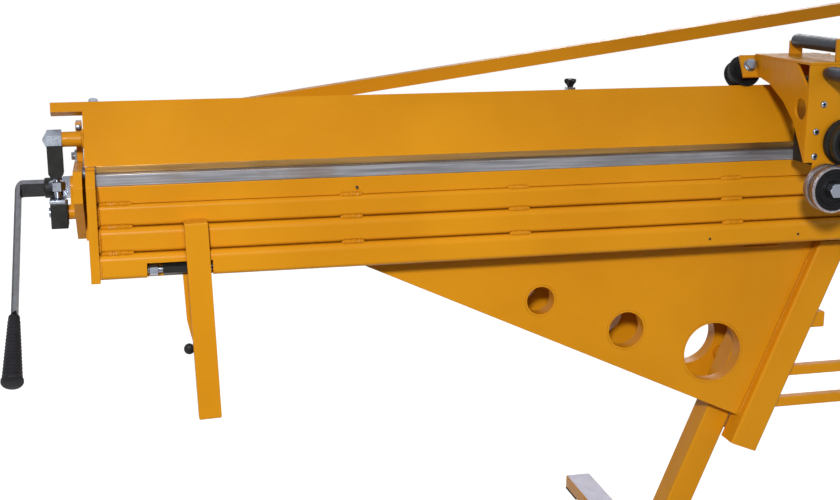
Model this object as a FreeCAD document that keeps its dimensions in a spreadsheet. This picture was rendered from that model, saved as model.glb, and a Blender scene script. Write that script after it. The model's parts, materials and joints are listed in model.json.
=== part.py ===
import FreeCAD, Part
import math
import os
import re

import Sketcher

# Manual sheet metal folding machine on a stand: a base beam with a clamping beam above it,
# a swinging apron in front, two crank levers that lift the clamping beam, and a roller
# cutter that rides along the clamping beam.
#
# Frame: X runs along the beams, the operator stands at -Y, +Z is up. The origin lies on
# the floor, under the middle of the machine, in the centre plane of the legs.
# Section sizes are given from the bend line, the axis about which the apron swings:
# "y" counts backwards from it and "z" upwards. End sizes count inwards from the apron's
# outer end, so that a negative one lies outside it.

os.makedirs("parts", exist_ok=True)

SIZES = {
    # Whole machine
    "apron_length": 3250,
    "bend_height": 900,
    "running_fit": 0.05,
    "fixed_fit": 0.02,
    "body_gap": 0.3,
    "sheet_gap": 0.5,
    # Base beam and its lower clamping bar
    "beam_front": 16,
    "beam_depth": 162,
    "beam_height": 180,
    "beam_wall": 8,
    "tool_bar_depth": 60,
    "tool_bar_height": 10,
    "tool_bar_end": 18.5,
    "rib_thickness": 10,
    "rib_inset": 420,
    # End plates that carry the apron and the crank shaft
    "end_plate_outer": -19,
    "end_plate_thickness": 15,
    "end_plate_front": 50,
    "end_plate_back": 132,
    "end_plate_top": 8.5,
    "end_plate_chamfer": 24,
    "end_plate_nose": 26,
    "end_plate_low": 119.5,
    "end_plate_slope_back": 32,
    "guide_post_thickness": 10,
    "guide_post_depth": 40,
    "guide_post_height": 69,
    "guide_post_back": 15,
    "guide_strip_thickness": 4,
    "guide_strip_depth": 20,
    "guide_strip_height": 20,
    "guide_bolt_radius": 7.5,
    "guide_bolt_head": 6,
    # Stand
    "stand_lean": 22.2,
    "column_left_edge": 1399.6,
    "column_width": 60,
    "column_depth": 50,
    "column_front": 4,
    "column_length": 443,
    "column_round": 5,
    "gusset_front": 24,
    "gusset_plate": 6,
    "gusset_tip": 478.5,
    "gusset_low": 359,
    "rear_box_front": 140,
    "collar_wall": 4,
    "small_hole_radius": 27,
    "middle_hole_radius": 36,
    "large_hole_radius": 60,
    "small_hole_from_end": 827,
    "middle_hole_from_end": 1004,
    "large_hole_from_end": 1189,
    "small_hole_drop": 281.5,
    "middle_hole_drop": 352,
    "large_hole_drop": 410,
    "leg_width": 54,
    "leg_round": 4,
    "leg_offset": 57,
    "leg_overlap": 345,
    "leg_spacer_radius": 16,
    "foot_bar_width": 60,
    "foot_bar_height": 30,
    "foot_bar_length": 866,
    "foot_pad_height": 4,
    "foot_pad_length": 70,
    "cross_bar_side": 20,
    "upper_cross_drop": 466,
    "lower_cross_drop": 532,
    "cross_bar_back": 42,
    "stub_drop": 344,
    "stub_height": 32,
    "stub_depth": 20,
    "stub_reach": 1437,
    "leg_bolt_radius": 10,
    "leg_bolt_height": 7,
    # Clamping beam
    "nose_depth": 40,
    "nose_height": 12,
    "clamp_plate": 8,
    "clamp_lean": 30,
    "clamp_slope": 101.6,
    "top_bar_side": 18,
    "top_bar_overhang": 53,
    "clamp_back": 120,
    "arm_radius": 13,
    "arm_length": 36,
    "arm_back": 40,
    "arm_height": 54.8,
    "link_flats": 30,
    "link_width": 25.5,
    "link_depth": 28,
    "link_drop": 66,
    "link_stud": 7,
    "rod_radius": 6,
    "rod_nut_flats": 24,
    "rod_nut_height": 16,
    "rod_nut_gap": 6,
    "washer_height": 6,
    "washer_side": 27,
    "yoke_width": 28.5,
    "yoke_depth": 42,
    "yoke_height": 44,
    "yoke_slot_low": 2.9,
    "yoke_slot_high": 1.3,
    "yoke_slot_side": 0.6,
    "yoke_top_wall": 13,
    "truss_side": 25,
    "truss_offset": 180,
    "truss_end_height": 36,
    "truss_slope": 7.67,
    "knob_inset": 905,
    "knob_back": 109,
    "knob_height": 115.5,
    "knob_post_side": 16,
    # Crank
    "shaft_back": 81,
    "shaft_drop": 35.5,
    "shaft_radius": 15,
    "shaft_end_radius": 10,
    "shaft_end": -72,
    "web_outer": -28,
    "web_thickness": 7.5,
    "web_half_width": 13,
    "web_hub_radius": 20,
    "pin_boss_length": 4.7,
    "shaft_nut_flats": 34,
    "shaft_nut_length": 14,
    "crank_throw": 50,
    "crank_angle": 50,
    "pin_radius": 6,
    "pin_head_radius": 8.5,
    "pin_head_height": 3.5,
    "hub_radius": 18,
    "lever_width": 32,
    "lever_thickness": 10,
    "lever_reach": 122,
    "lever_bend_radius": 14,
    "lever_angle": 56,
    "lever_length": 292,
    "grip_length": 136,
    "grip_neck_radius": 9,
    "grip_radius": 15.5,
    "grip_flange_radius": 17.5,
    "grip_flange_height": 10,
    # Apron
    "strip_depth": 16,
    "strip_height": 20,
    "apron_end": 1.5,
    "apron_end_thickness": 15.5,
    "apron_depth": 181.5,
    "pivot_radius": 8,
    "pivot_boss_radius": 12,
    "plate_a_front": 18,
    "plate_b_front": 26,
    "plate_c_front": 36,
    "plate_d_front": 46,
    "plate_a_low": 51.5,
    "plate_b_low": 90.3,
    "plate_c_low": 133.8,
    "plate_d_low": 177.5,
    "plate_a_back": 2,
    "plate_b_back": 6,
    "plate_c_back": 14,
    "plate_d_back": 22,
    "plate_b_round": 8,
    "plate_c_round": 12,
    "plate_d_round": 12,
    "plate_low_round": 8,
    "handle_width": 40,
    "handle_depth": 25,
    "handle_front": 56,
    "handle_inset": 180,
    "handle_top": 82.5,
    "handle_length": 355,
    "handle_splay": 1.9,
    "handle_step_gap": 1,
    "handle_plate": 5,
    "handle_plate_width": 52,
    "handle_plate_length": 118,
    "handle_knob_radius": 9.5,
    "handle_knob_length": 14,
    "handle_knob_drop": 315,
    "handle_knob_offset": 26.5,
    "recess_start": 95,
    "recess_length": 112,
    "recess_height": 27,
    "recess_depth": 20,
    "tension_rod_radius": 6,
    "tension_rod_length": 112,
    "tension_nut_flats": 19,
    "tension_nut_length": 14,
    "tension_nut_start": 4,
    "coupling_flats": 19,
    "coupling_length": 42,
    "coupling_start": 27,
    # Roller cutter carriage
    "carriage_place": -297,
    "carriage_width": 130,
    "carriage_plate": 5,
    "carriage_front": 148,
    "carriage_low": 3.9,
    "carriage_top": 171,
    "side_back": 61.3,
    "side_heel": 133,
    "side_heel_back": 39.3,
    "side_knee": 125,
    "side_bend_front": 57,
    "side_bend": 97,
    "side_shin_front": 99,
    "side_shin": 64,
    "side_front_cut": 49,
    "side_front_fall": 42,
    "side_hole_radius": 19,
    "side_hole_front": 122,
    "side_hole_height": 90,
    "wheel_plate_height": 46,
    "wheel_plate_tab": 32,
    "wheel_plate_back": 30,
    "wheel_radius": 28.5,
    "wheel_groove_width": 19,
    "wheel_flange": 3.5,
    "wheel_flange_width": 3.5,
    "wheel_overhang": 15,
    "wheel_bolt_radius": 5,
    "wheel_cap": 1.5,
    "wheel_cap_radius": 8,
    "wheel_washer": 2,
    "wheel_washer_radius": 12,
    "wheel_head_flats": 19,
    "wheel_head_height": 8,
    "upper_cutter_shift": 7,
    "lower_cutter_shift": -25,
    "upper_cutter_height": 34,
    "upper_cutter_radius": 41,
    "lower_cutter_radius": 42.5,
    "lower_cutter_drop": 48,
    "cutter_disc": 14,
    "cutter_length": 36,
    "cutter_groove": 4,
    "cutter_standoff": 5,
    "cutter_axle_radius": 10,
    "cutter_spacer_radius": 14,
    "cutter_nut_flats": 24,
    "cutter_nut_height": 10,
    "axle_tongue_width": 44,
    "axle_tongue_low": 70,
    "axle_block_width": 64,
    "axle_block_depth": 80,
    "axle_block_low": 12,
    "axle_block_high": 55,
    "shoe_width": 30,
    "shoe_height": 25,
    "shoe_shift": 17,
    "top_grip_radius": 13,
    "top_grip_length": 160,
    "top_grip_height": 203,
    "top_grip_back": 22,
    "grip_bracket_width": 26,
    "front_grip_radius": 13,
    "front_grip_length": 110,
    "front_grip_shift": -31.5,
    "front_grip_height": 157,
    "screw_radius": 5.5,
    "screw_head": 3,
    "screw_inset": 19,
    "screw_step": 12,
    "top_screw_height": 101,
    "middle_screw_height": 52,
    "low_screw_height": 7,
    # Star knob
    "star_radius": 12,
    "star_height": 8,
    "star_cone_height": 7,
    "star_lobes": 6,
    "star_stud_radius": 4,
    "star_foot_radius": 6,
    "star_core_radius": 9.6,
    "star_lobe_radius": 3.6,
}

doc = FreeCAD.newDocument("FoldingMachine")
sheet = doc.addObject("Spreadsheet::Sheet", "Sizes")
for row, (alias, number) in enumerate(SIZES.items(), start=1):
    sheet.set(f"A{row}", alias)
    sheet.set(f"B{row}", str(number))
    sheet.setAlias(f"B{row}", alias)
doc.recompute()

LEFT = -1
RIGHT = 1
X_AXIS = FreeCAD.Vector(1, 0, 0)
Y_AXIS = FreeCAD.Vector(0, 1, 0)
Z_AXIS = FreeCAD.Vector(0, 0, 1)
# A cylinder or prism grows along Z; these turns lay it along the named axis.
ALONG = {
    "X": FreeCAD.Rotation(Y_AXIS, 90),
    "Y": FreeCAD.Rotation(X_AXIS, -90),
    "Z": FreeCAD.Rotation(),
}
nodes = {}
# The bend line is so far in front of the middle of the legs, where the frame's origin is.
MIDDLE_BACK = "(column_front + column_depth + leg_width / 2)"


# Expressions
def bound(text):
    """The expression with every size name pointing at the sheet."""
    def to_cell(match):
        word = match.group(0)
        return f"Sizes.{word}" if word in SIZES else word
    return re.sub(r"[a-z][a-z0-9_]*", to_cell, str(text))


def number(text):
    """The present value of an expression."""
    result = sheet.evalExpression(bound(text))
    return float(getattr(result, "Value", result))


def from_end(side, distance):
    """The X of a place that is so far inwards from the apron's outer end."""
    return f"{side} * (apron_length / 2 - ({distance}))"


def set_place(item, x, y, z):
    """Put an item at a place counted from the bend line."""
    item.setExpression("Placement.Base.x", bound(x))
    item.setExpression("Placement.Base.y", bound(f"({y}) - {MIDDLE_BACK}"))
    item.setExpression("Placement.Base.z", bound(f"({z}) + bend_height"))


def add(name, item):
    """Keep an item as a sub-part under its own name."""
    item.Label = name
    nodes[name] = item
    return item


# Primitives, all placed by their centre
def box(label, size, centre):
    item = doc.addObject("Part::Box", label)
    for side, extent in zip(("Length", "Width", "Height"), size):
        item.setExpression(side, bound(extent))
    set_place(item, *(f"({c}) - ({s}) / 2" for c, s in zip(centre, size)))
    return item


def along_axis(item, axis, length, centre):
    item.Placement = FreeCAD.Placement(FreeCAD.Vector(), ALONG[axis])
    start = [f"({c}) - ({length}) / 2" if a == axis else c for a, c in zip("XYZ", centre)]
    set_place(item, *start)
    return item


def rod(label, axis, radius, length, centre):
    item = doc.addObject("Part::Cylinder", label)
    item.setExpression("Radius", bound(radius))
    item.setExpression("Height", bound(length))
    return along_axis(item, axis, length, centre)


def hexagon(label, axis, flats, length, centre):
    item = doc.addObject("Part::Prism", label)
    item.Polygon = 6
    item.setExpression("Circumradius", bound(f"({flats}) / 2 / cos(30deg)"))
    item.setExpression("Height", bound(length))
    return along_axis(item, axis, length, centre)


def fuse(label, items):
    item = doc.addObject("Part::MultiFuse", label)
    item.Shapes = items
    return item


def cut(label, base, tool):
    item = doc.addObject("Part::Cut", label)
    item.Base = base
    item.Tool = tool
    return item


def group(label, items):
    item = doc.addObject("Part::Compound", label)
    item.Links = items
    return item


# Plates drawn as an outline and padded evenly to both sides of their plane
def new_sketch(body, plane, label):
    sketch = body.newObject("Sketcher::SketchObject", label)
    origin = [f for f in body.Origin.OriginFeatures if f.Role == f"{plane}_Plane"][0]
    sketch.AttachmentSupport = (origin, [""])
    sketch.MapMode = "FlatFace"
    return sketch


def bind_point(sketch, edge, end, point):
    for kind, text in zip(("DistanceX", "DistanceY"), point):
        place = sketch.addConstraint(Sketcher.Constraint(kind, -1, 1, edge, end, number(text)))
        sketch.setExpression(f"Constraints[{place}]", bound(text))


def draw_outline(sketch, outline):
    corners = [FreeCAD.Vector(number(a), number(b), 0) for a, b in outline]
    first = sketch.GeometryCount
    count = len(corners)
    for i in range(count):
        sketch.addGeometry(Part.LineSegment(corners[i], corners[(i + 1) % count]))
    for i in range(count):
        following = first + (i + 1) % count
        sketch.addConstraint(Sketcher.Constraint("Coincident", first + i, 2, following, 1))
    for i in range(count):
        bind_point(sketch, first + i, 1, outline[i])


def plate(label, plane, outline, thickness, place, inner=None):
    """A padded outline in the YZ or XZ plane; inner is the outline of a hollow."""
    body = doc.addObject("PartDesign::Body", label)
    sketch = new_sketch(body, plane, f"{label}_outline")
    draw_outline(sketch, outline)
    if inner:
        draw_outline(sketch, inner)
    pad = body.newObject("PartDesign::Pad", f"{label}_pad")
    pad.Profile = sketch
    pad.SideType = "Symmetric"
    pad.setExpression("Length", bound(thickness))
    body.Tip = pad
    set_place(body, *place)
    return body


def drill(body, plane, holes):
    """Round holes right through, each given as its centre in the plate and its radius."""
    doc.recompute()
    before = body.Shape.Volume
    sketch = new_sketch(body, plane, f"{body.Name}_holes")
    for a, b, radius in holes:
        circle = Part.Circle(FreeCAD.Vector(number(a), number(b), 0), Z_AXIS, number(radius))
        edge = sketch.addGeometry(circle)
        bind_point(sketch, edge, 3, (a, b))
        place = sketch.addConstraint(Sketcher.Constraint("Radius", edge, number(radius)))
        sketch.setExpression(f"Constraints[{place}]", bound(radius))
    pocket = body.newObject("PartDesign::Pocket", f"{body.Name}_pocket")
    pocket.Profile = sketch
    pocket.Type = "ThroughAll"
    pocket.SideType = "Symmetric"
    body.Tip = pocket
    doc.recompute()
    if body.Shape.Volume >= before:
        raise RuntimeError(f"{body.Name}: the holes cut nothing")
    return body


def soften(body, radius, wanted):
    """Round the edges of a plate that the test picks."""
    doc.recompute()
    tip = body.Tip
    names = [f"Edge{i}" for i, e in enumerate(tip.Shape.Edges, start=1) if wanted(e)]
    if not names:
        raise RuntimeError(f"{body.Name}: no edge to round")
    fillet = body.newObject("PartDesign::Fillet", f"{body.Name}_round_{len(body.Group)}")
    fillet.Base = (tip, names)
    fillet.setExpression("Radius", bound(radius))
    body.Tip = fillet
    return body


def near(value, text):
    return abs(value - number(text)) < 0.01


BEND = ("0", "0")
INNER_LENGTH = "apron_length - 2 * apron_end - 2 * apron_end_thickness"
TOOL_LENGTH = "apron_length - 2 * tool_bar_end"
BEAM_BACK = "beam_front + beam_depth"
BEAM_TOP = "-tool_bar_height"
BEAM_LOW = "-(tool_bar_height + beam_height)"
FLOOR = "-bend_height"


# Base beam
def build_base_beam():
    outer = [("beam_front", BEAM_LOW), (BEAM_BACK, BEAM_LOW), (BEAM_BACK, BEAM_TOP),
             ("beam_front", BEAM_TOP)]
    low = f"{BEAM_LOW} + beam_wall"
    top = f"{BEAM_TOP} - beam_wall"
    front = "beam_front + beam_wall"
    back = f"{BEAM_BACK} - beam_wall"
    inner = [(front, low), (back, low), (back, top), (front, top)]
    add("base_beam", plate("base_beam", "YZ", outer, "apron_length", ("0", *BEND), inner))

    ribs = []
    places = [from_end(LEFT, "rib_inset"), "0", from_end(RIGHT, "rib_inset")]
    for i, x in enumerate(places):
        rib = plate(f"rib_{i}", "YZ", inner, "rib_thickness", (x, *BEND))
        hole = ("shaft_back", "-shaft_drop", "shaft_radius + running_fit")
        ribs.append(drill(rib, "YZ", [hole]))
    for side in (LEFT, RIGHT):
        outline = [("beam_front", "-end_plate_low"), ("end_plate_back", "-end_plate_low"),
                   ("end_plate_back", BEAM_TOP), ("beam_front", BEAM_TOP)]
        thickness = "-(end_plate_outer + end_plate_thickness)"
        x = from_end(side, f"-({thickness}) / 2")
        spacer = plate(f"spacer_{side + 1}", "YZ", outline, thickness, (x, *BEND))
        hole = ("shaft_back", "-shaft_drop", "shaft_radius + fixed_fit + running_fit")
        ribs.append(drill(spacer, "YZ", [hole]))
    add("beam_ribs", group("beam_ribs", ribs))

    centre = ("0", "(body_gap + tool_bar_depth) / 2", "-tool_bar_height / 2")
    size = (TOOL_LENGTH, "tool_bar_depth - body_gap", "tool_bar_height")
    add("base_tool_bar", box("base_tool_bar", size, centre))


# End plates, guide posts and their fasteners
def build_end_plates():
    outline = [
        ("-end_plate_front", "end_plate_top - end_plate_chamfer"),
        ("-end_plate_front", "end_plate_top - end_plate_chamfer - end_plate_nose"),
        ("end_plate_slope_back", "-end_plate_low"),
        ("end_plate_back", "-end_plate_low"),
        ("end_plate_back", "end_plate_top"),
        ("end_plate_chamfer - end_plate_front", "end_plate_top"),
    ]
    plates = []
    for side in (LEFT, RIGHT):
        x = from_end(side, "end_plate_outer + end_plate_thickness / 2")
        body = plate(f"end_plate_{side + 1}", "YZ", outline, "end_plate_thickness", (x, *BEND))
        holes = [("0", "0", "pivot_radius + running_fit"),
                 ("shaft_back", "-shaft_drop", "shaft_radius + running_fit")]
        plates.append(drill(body, "YZ", holes))
    add("base_end_plates", group("base_end_plates", plates))

    posts, strips, bolts = [], [], []
    inner_face = "end_plate_outer + end_plate_thickness"
    post_front = "end_plate_back - guide_post_back - guide_post_depth"
    for side in (LEFT, RIGHT):
        x = from_end(side, f"{inner_face} - guide_post_thickness / 2")
        y = f"{post_front} + guide_post_depth / 2"
        z = "end_plate_top + guide_post_height / 2"
        size = ("guide_post_thickness", "guide_post_depth", "guide_post_height")
        posts.append(box(f"post_{side + 1}", size, (x, y, z)))

        outer_face = f"{inner_face} - guide_post_thickness"
        x = from_end(side, f"{outer_face} - guide_strip_thickness / 2")
        y = f"{post_front} + guide_strip_depth / 2"
        z = "end_plate_top + guide_strip_height / 2"
        size = ("guide_strip_thickness", "guide_strip_depth", "guide_strip_height")
        strips.append(box(f"strip_{side + 1}", size, (x, y, z)))

        x = from_end(side, f"{outer_face} - guide_strip_thickness - guide_bolt_head / 2")
        z = "end_plate_top + guide_strip_height / 2"
        bolts.append(rod(f"strip_bolt_{side + 1}", "X", "guide_bolt_radius",
                         "guide_bolt_head", (x, y, z)))
        x = from_end(side, f"{inner_face} - guide_post_thickness / 2")
        y = f"{post_front} - guide_bolt_head / 2"
        z = "end_plate_top + guide_post_height - guide_bolt_radius - running_fit"
        bolts.append(rod(f"post_bolt_{side + 1}", "Y", "guide_post_thickness / 2",
                         "guide_bolt_head", (x, y, z)))
    add("guide_posts", group("guide_posts", posts))
    add("guide_strips", group("guide_strips", strips))
    return bolts


# Stand
LEAN = "tan(stand_lean * 1deg)"
ACROSS = "cos(stand_lean * 1deg)"


def column_edge(drop):
    """How far from the apron's end the column's outer side face is, at this depth."""
    return f"(column_left_edge - (({drop}) + {BEAM_LOW}) * {LEAN})"


def leaning(side, edge, width, top, low):
    """Outline of a leaning tube seen from the front, from a top depth to a low depth."""
    across = f"({width}) / {ACROSS}"
    return [
        (from_end(side, f"{edge(top)}"), f"-({top})"),
        (from_end(side, f"{edge(top)} + {across}"), f"-({top})"),
        (from_end(side, f"{edge(low)} + {across}"), f"-({low})"),
        (from_end(side, f"{edge(low)}"), f"-({low})"),
    ]


def leg_edge(drop):
    return f"({column_edge(drop)} - leg_offset)"


def build_stand(bolts):
    beam_drop = "tool_bar_height + beam_height"
    box_back = "column_front + column_depth"
    box_depth = f"({box_back} - gusset_front)"
    columns, gussets, collars, legs, feet, pads, spacers = [], [], [], [], [], [], []
    holes = [(f"{size}_hole_from_end", f"{size}_hole_drop", f"{size}_hole_radius")
             for size in ("small", "middle", "large")]
    # A box of two plates hangs from the front of the beam and its twin from the rear.
    boxes = {"front": ("gusset_front", "column_front"),
             "rear": ("rear_box_front", "rear_box_front")}
    for side, word in ((LEFT, "left"), (RIGHT, "right")):
        # The column's foot is cut square to its lean.
        slant = "column_width * sin(stand_lean * 1deg)"
        low = f"{beam_drop} + column_length * {ACROSS}"
        outline = leaning(side, column_edge, "column_width", beam_drop, low)
        outline[2] = (
            from_end(side, f"{column_edge(low)} + column_width * {ACROSS}"),
            f"-({low} + {slant})",
        )
        corner = from_end(side, column_edge("gusset_low + tool_bar_height + beam_height"))
        triangle = [
            (from_end(side, "gusset_tip"), f"-({beam_drop})"),
            (from_end(side, column_edge(beam_drop)), f"-({beam_drop})"),
            (corner, f"-({beam_drop} + gusset_low)"),
        ]
        drilled = [(from_end(side, e), f"-({d})", f"{r} + collar_wall") for e, d, r in holes]
        for place, (box_front, column_face) in boxes.items():
            tag = f"{place}_{word}"
            y = f"{column_face} + column_depth / 2"
            body = plate(f"column_{tag}", "XZ", outline, "column_depth", ("0", y, "0"))
            columns.append(soften(body, "column_round", is_edge_along_lean))
            for i, shift in enumerate(("0", f"{box_depth} - gusset_plate")):
                y = f"{box_front} + {shift} + gusset_plate / 2"
                body = plate(f"gusset_{tag}_{i}", "XZ", triangle, "gusset_plate", ("0", y, "0"))
                gussets.append(drill(body, "XZ", drilled))
            for i, (e, d, r) in enumerate(holes):
                centre = (from_end(side, e), f"{box_front} + {box_depth} / 2", f"-({d})")
                outer = rod(f"collar_{tag}_{i}", "Y", f"{r} + collar_wall - fixed_fit",
                            box_depth, centre)
                inner = rod(f"collar_hole_{tag}_{i}", "Y", r, f"{box_depth} * 2", centre)
                collars.append(cut(f"collar_ring_{tag}_{i}", outer, inner))

        top = f"{beam_drop} + column_length * {ACROSS} - leg_overlap * {ACROSS}"
        foot_top = "bend_height - foot_pad_height - foot_bar_height"
        outline = leaning(side, leg_edge, "leg_width", top, foot_top)
        y = f"{box_back} + leg_width / 2"
        body = plate(f"leg_{word}", "XZ", outline, "leg_width", ("0", y, "0"))
        legs.append(soften(body, "leg_round", is_edge_along_lean))

        foot_x = from_end(side, f"{leg_edge(foot_top)} + leg_width / {ACROSS} / 2")
        z = f"{FLOOR} + foot_pad_height + foot_bar_height / 2"
        size = ("foot_bar_width", "foot_bar_length", "foot_bar_height")
        feet.append(box(f"foot_bar_{word}", size, (foot_x, y, z)))
        for end in (-1, 1):
            pad_y = f"{y} + {end} * (foot_bar_length - foot_pad_length) / 2"
            size = ("foot_bar_width", "foot_pad_length", "foot_pad_height")
            z = f"{FLOOR} + foot_pad_height / 2"
            pads.append(box(f"pad_{word}_{end + 1}", size, (foot_x, pad_y, z)))

        for i in (1, 2):
            drop = f"{top} + {i} * leg_overlap / 4"
            x = from_end(side, f"{leg_edge(drop)} + leg_width / {ACROSS} / 2")
            leg_back = f"({box_back} + leg_width)"
            length = f"(rear_box_front - {leg_back})"
            centre = (x, f"{leg_back} + {length} / 2", f"-({drop})")
            spacers.append(rod(f"leg_spacer_{word}_{i}", "Y", "leg_spacer_radius", length, centre))
            y = f"rear_box_front + {box_depth} + leg_bolt_height / 2"
            bolts.append(hexagon(f"leg_bolt_{word}_{i}", "Y", "2 * leg_bolt_radius",
                                 "leg_bolt_height", (x, y, f"-({drop})")))
    add("columns", group("columns", columns))
    add("gusset_plates", group("gusset_plates", gussets))
    add("legs", group("legs", legs))
    add("leg_spacers", group("leg_spacers", spacers))
    add("foot_bars", group("foot_bars", feet))
    add("gusset_collars", group("gusset_collars", collars))
    add("foot_pads", group("foot_pads", pads))
    add("frame_bolts", group("frame_bolts", bolts))

    bars = []
    reach = f"column_width / {ACROSS}"
    for word in ("upper", "lower"):
        drop = f"{word}_cross_drop"
        high, low = f"({drop} - cross_bar_side / 2)", f"({drop} + cross_bar_side / 2)"
        outline = [
            (from_end(LEFT, f"{column_edge(high)} + {reach}"), f"-({high})"),
            (from_end(RIGHT, f"{column_edge(high)} + {reach}"), f"-({high})"),
            (from_end(RIGHT, f"{column_edge(low)} + {reach}"), f"-({low})"),
            (from_end(LEFT, f"{column_edge(low)} + {reach}"), f"-({low})"),
        ]
        place = ("0", "cross_bar_back", "0")
        bars.append(plate(f"cross_bar_{word}", "XZ", outline, "cross_bar_side", place))
    high, low = "stub_drop", "(stub_drop + stub_height)"
    for side in (LEFT, RIGHT):
        outline = [
            (from_end(side, f"{column_edge(high)} + {reach}"), f"-{high}"),
            (from_end(side, "stub_reach"), f"-{high}"),
            (from_end(side, "stub_reach"), f"-{low}"),
            (from_end(side, f"{column_edge(low)} + {reach}"), f"-{low}"),
        ]
        place = ("0", "cross_bar_back", "0")
        bars.append(plate(f"stub_{side + 1}", "XZ", outline, "stub_depth", place))
    add("cross_bars", group("cross_bars", bars))


def is_edge_along_lean(edge):
    """Long leaning edges, those that run down a column or a leg."""
    start, end = (v.Point for v in edge.Vertexes)
    run = end - start
    return abs(run.y) < 0.01 and abs(run.z) > 2 * number("column_width")


# Clamping beam
SIN = "sin(clamp_lean * 1deg)"
COS = "cos(clamp_lean * 1deg)"
NOSE_TOP = "sheet_gap + nose_height"


def on_slope(rise, depth):
    """A point of the clamping beam's section: up its sloping face and into it."""
    return (f"({rise}) * {SIN} + ({depth}) * {COS}",
            f"{NOSE_TOP} + ({rise}) * {COS} - ({depth}) * {SIN}")


def build_clamp():
    size = (TOOL_LENGTH, "nose_depth", "nose_height")
    add("nose_bar", box("nose_bar", size, ("0", "nose_depth / 2", "sheet_gap + nose_height / 2")))

    # The face plate's foot is cut level where it stands on the nose bar.
    foot_y = f"clamp_plate / {COS}"
    face = [("0", NOSE_TOP), (foot_y, NOSE_TOP), on_slope("clamp_slope", "clamp_plate"),
            on_slope("clamp_slope", "0")]
    place = ("0", *BEND)
    add("clamp_front_plate", plate("clamp_front_plate", "YZ", face, "apron_length", place))

    top = "clamp_slope + top_bar_side"
    bar = [on_slope("clamp_slope", "0"), on_slope("clamp_slope", "top_bar_side"),
           on_slope(top, "top_bar_side"), on_slope(top, "0")]
    length = "apron_length + 2 * top_bar_overhang"
    add("clamp_top_bar", plate("clamp_top_bar", "YZ", bar, length, place))

    floor_top = f"{NOSE_TOP} + clamp_plate"
    shift = "clamp_plate * tan(clamp_lean * 1deg)"
    bottom = [(foot_y, NOSE_TOP), ("clamp_back", NOSE_TOP), ("clamp_back", floor_top),
              (f"{foot_y} + {shift}", floor_top)]
    add("clamp_bottom_plate", plate("clamp_bottom_plate", "YZ", bottom, "apron_length", place))

    inner_foot = "clamp_back - clamp_plate * 1.25"
    rear = [(inner_foot, floor_top), ("clamp_back", floor_top),
            on_slope("clamp_slope + top_bar_side / 2", "top_bar_side"),
            on_slope("clamp_slope", "top_bar_side")]
    add("clamp_rear_plate", plate("clamp_rear_plate", "YZ", rear, "apron_length", place))

    closing = [(f"{foot_y} + {shift}", floor_top), on_slope("clamp_slope", "clamp_plate"),
               on_slope("clamp_slope", "top_bar_side"), (inner_foot, floor_top)]
    ends = []
    for side in (LEFT, RIGHT):
        x = from_end(side, "clamp_plate / 2")
        ends.append(plate(f"clamp_end_{side + 1}", "YZ", closing, "clamp_plate", (x, *BEND)))
    add("clamp_end_plates", group("clamp_end_plates", ends))


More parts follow.
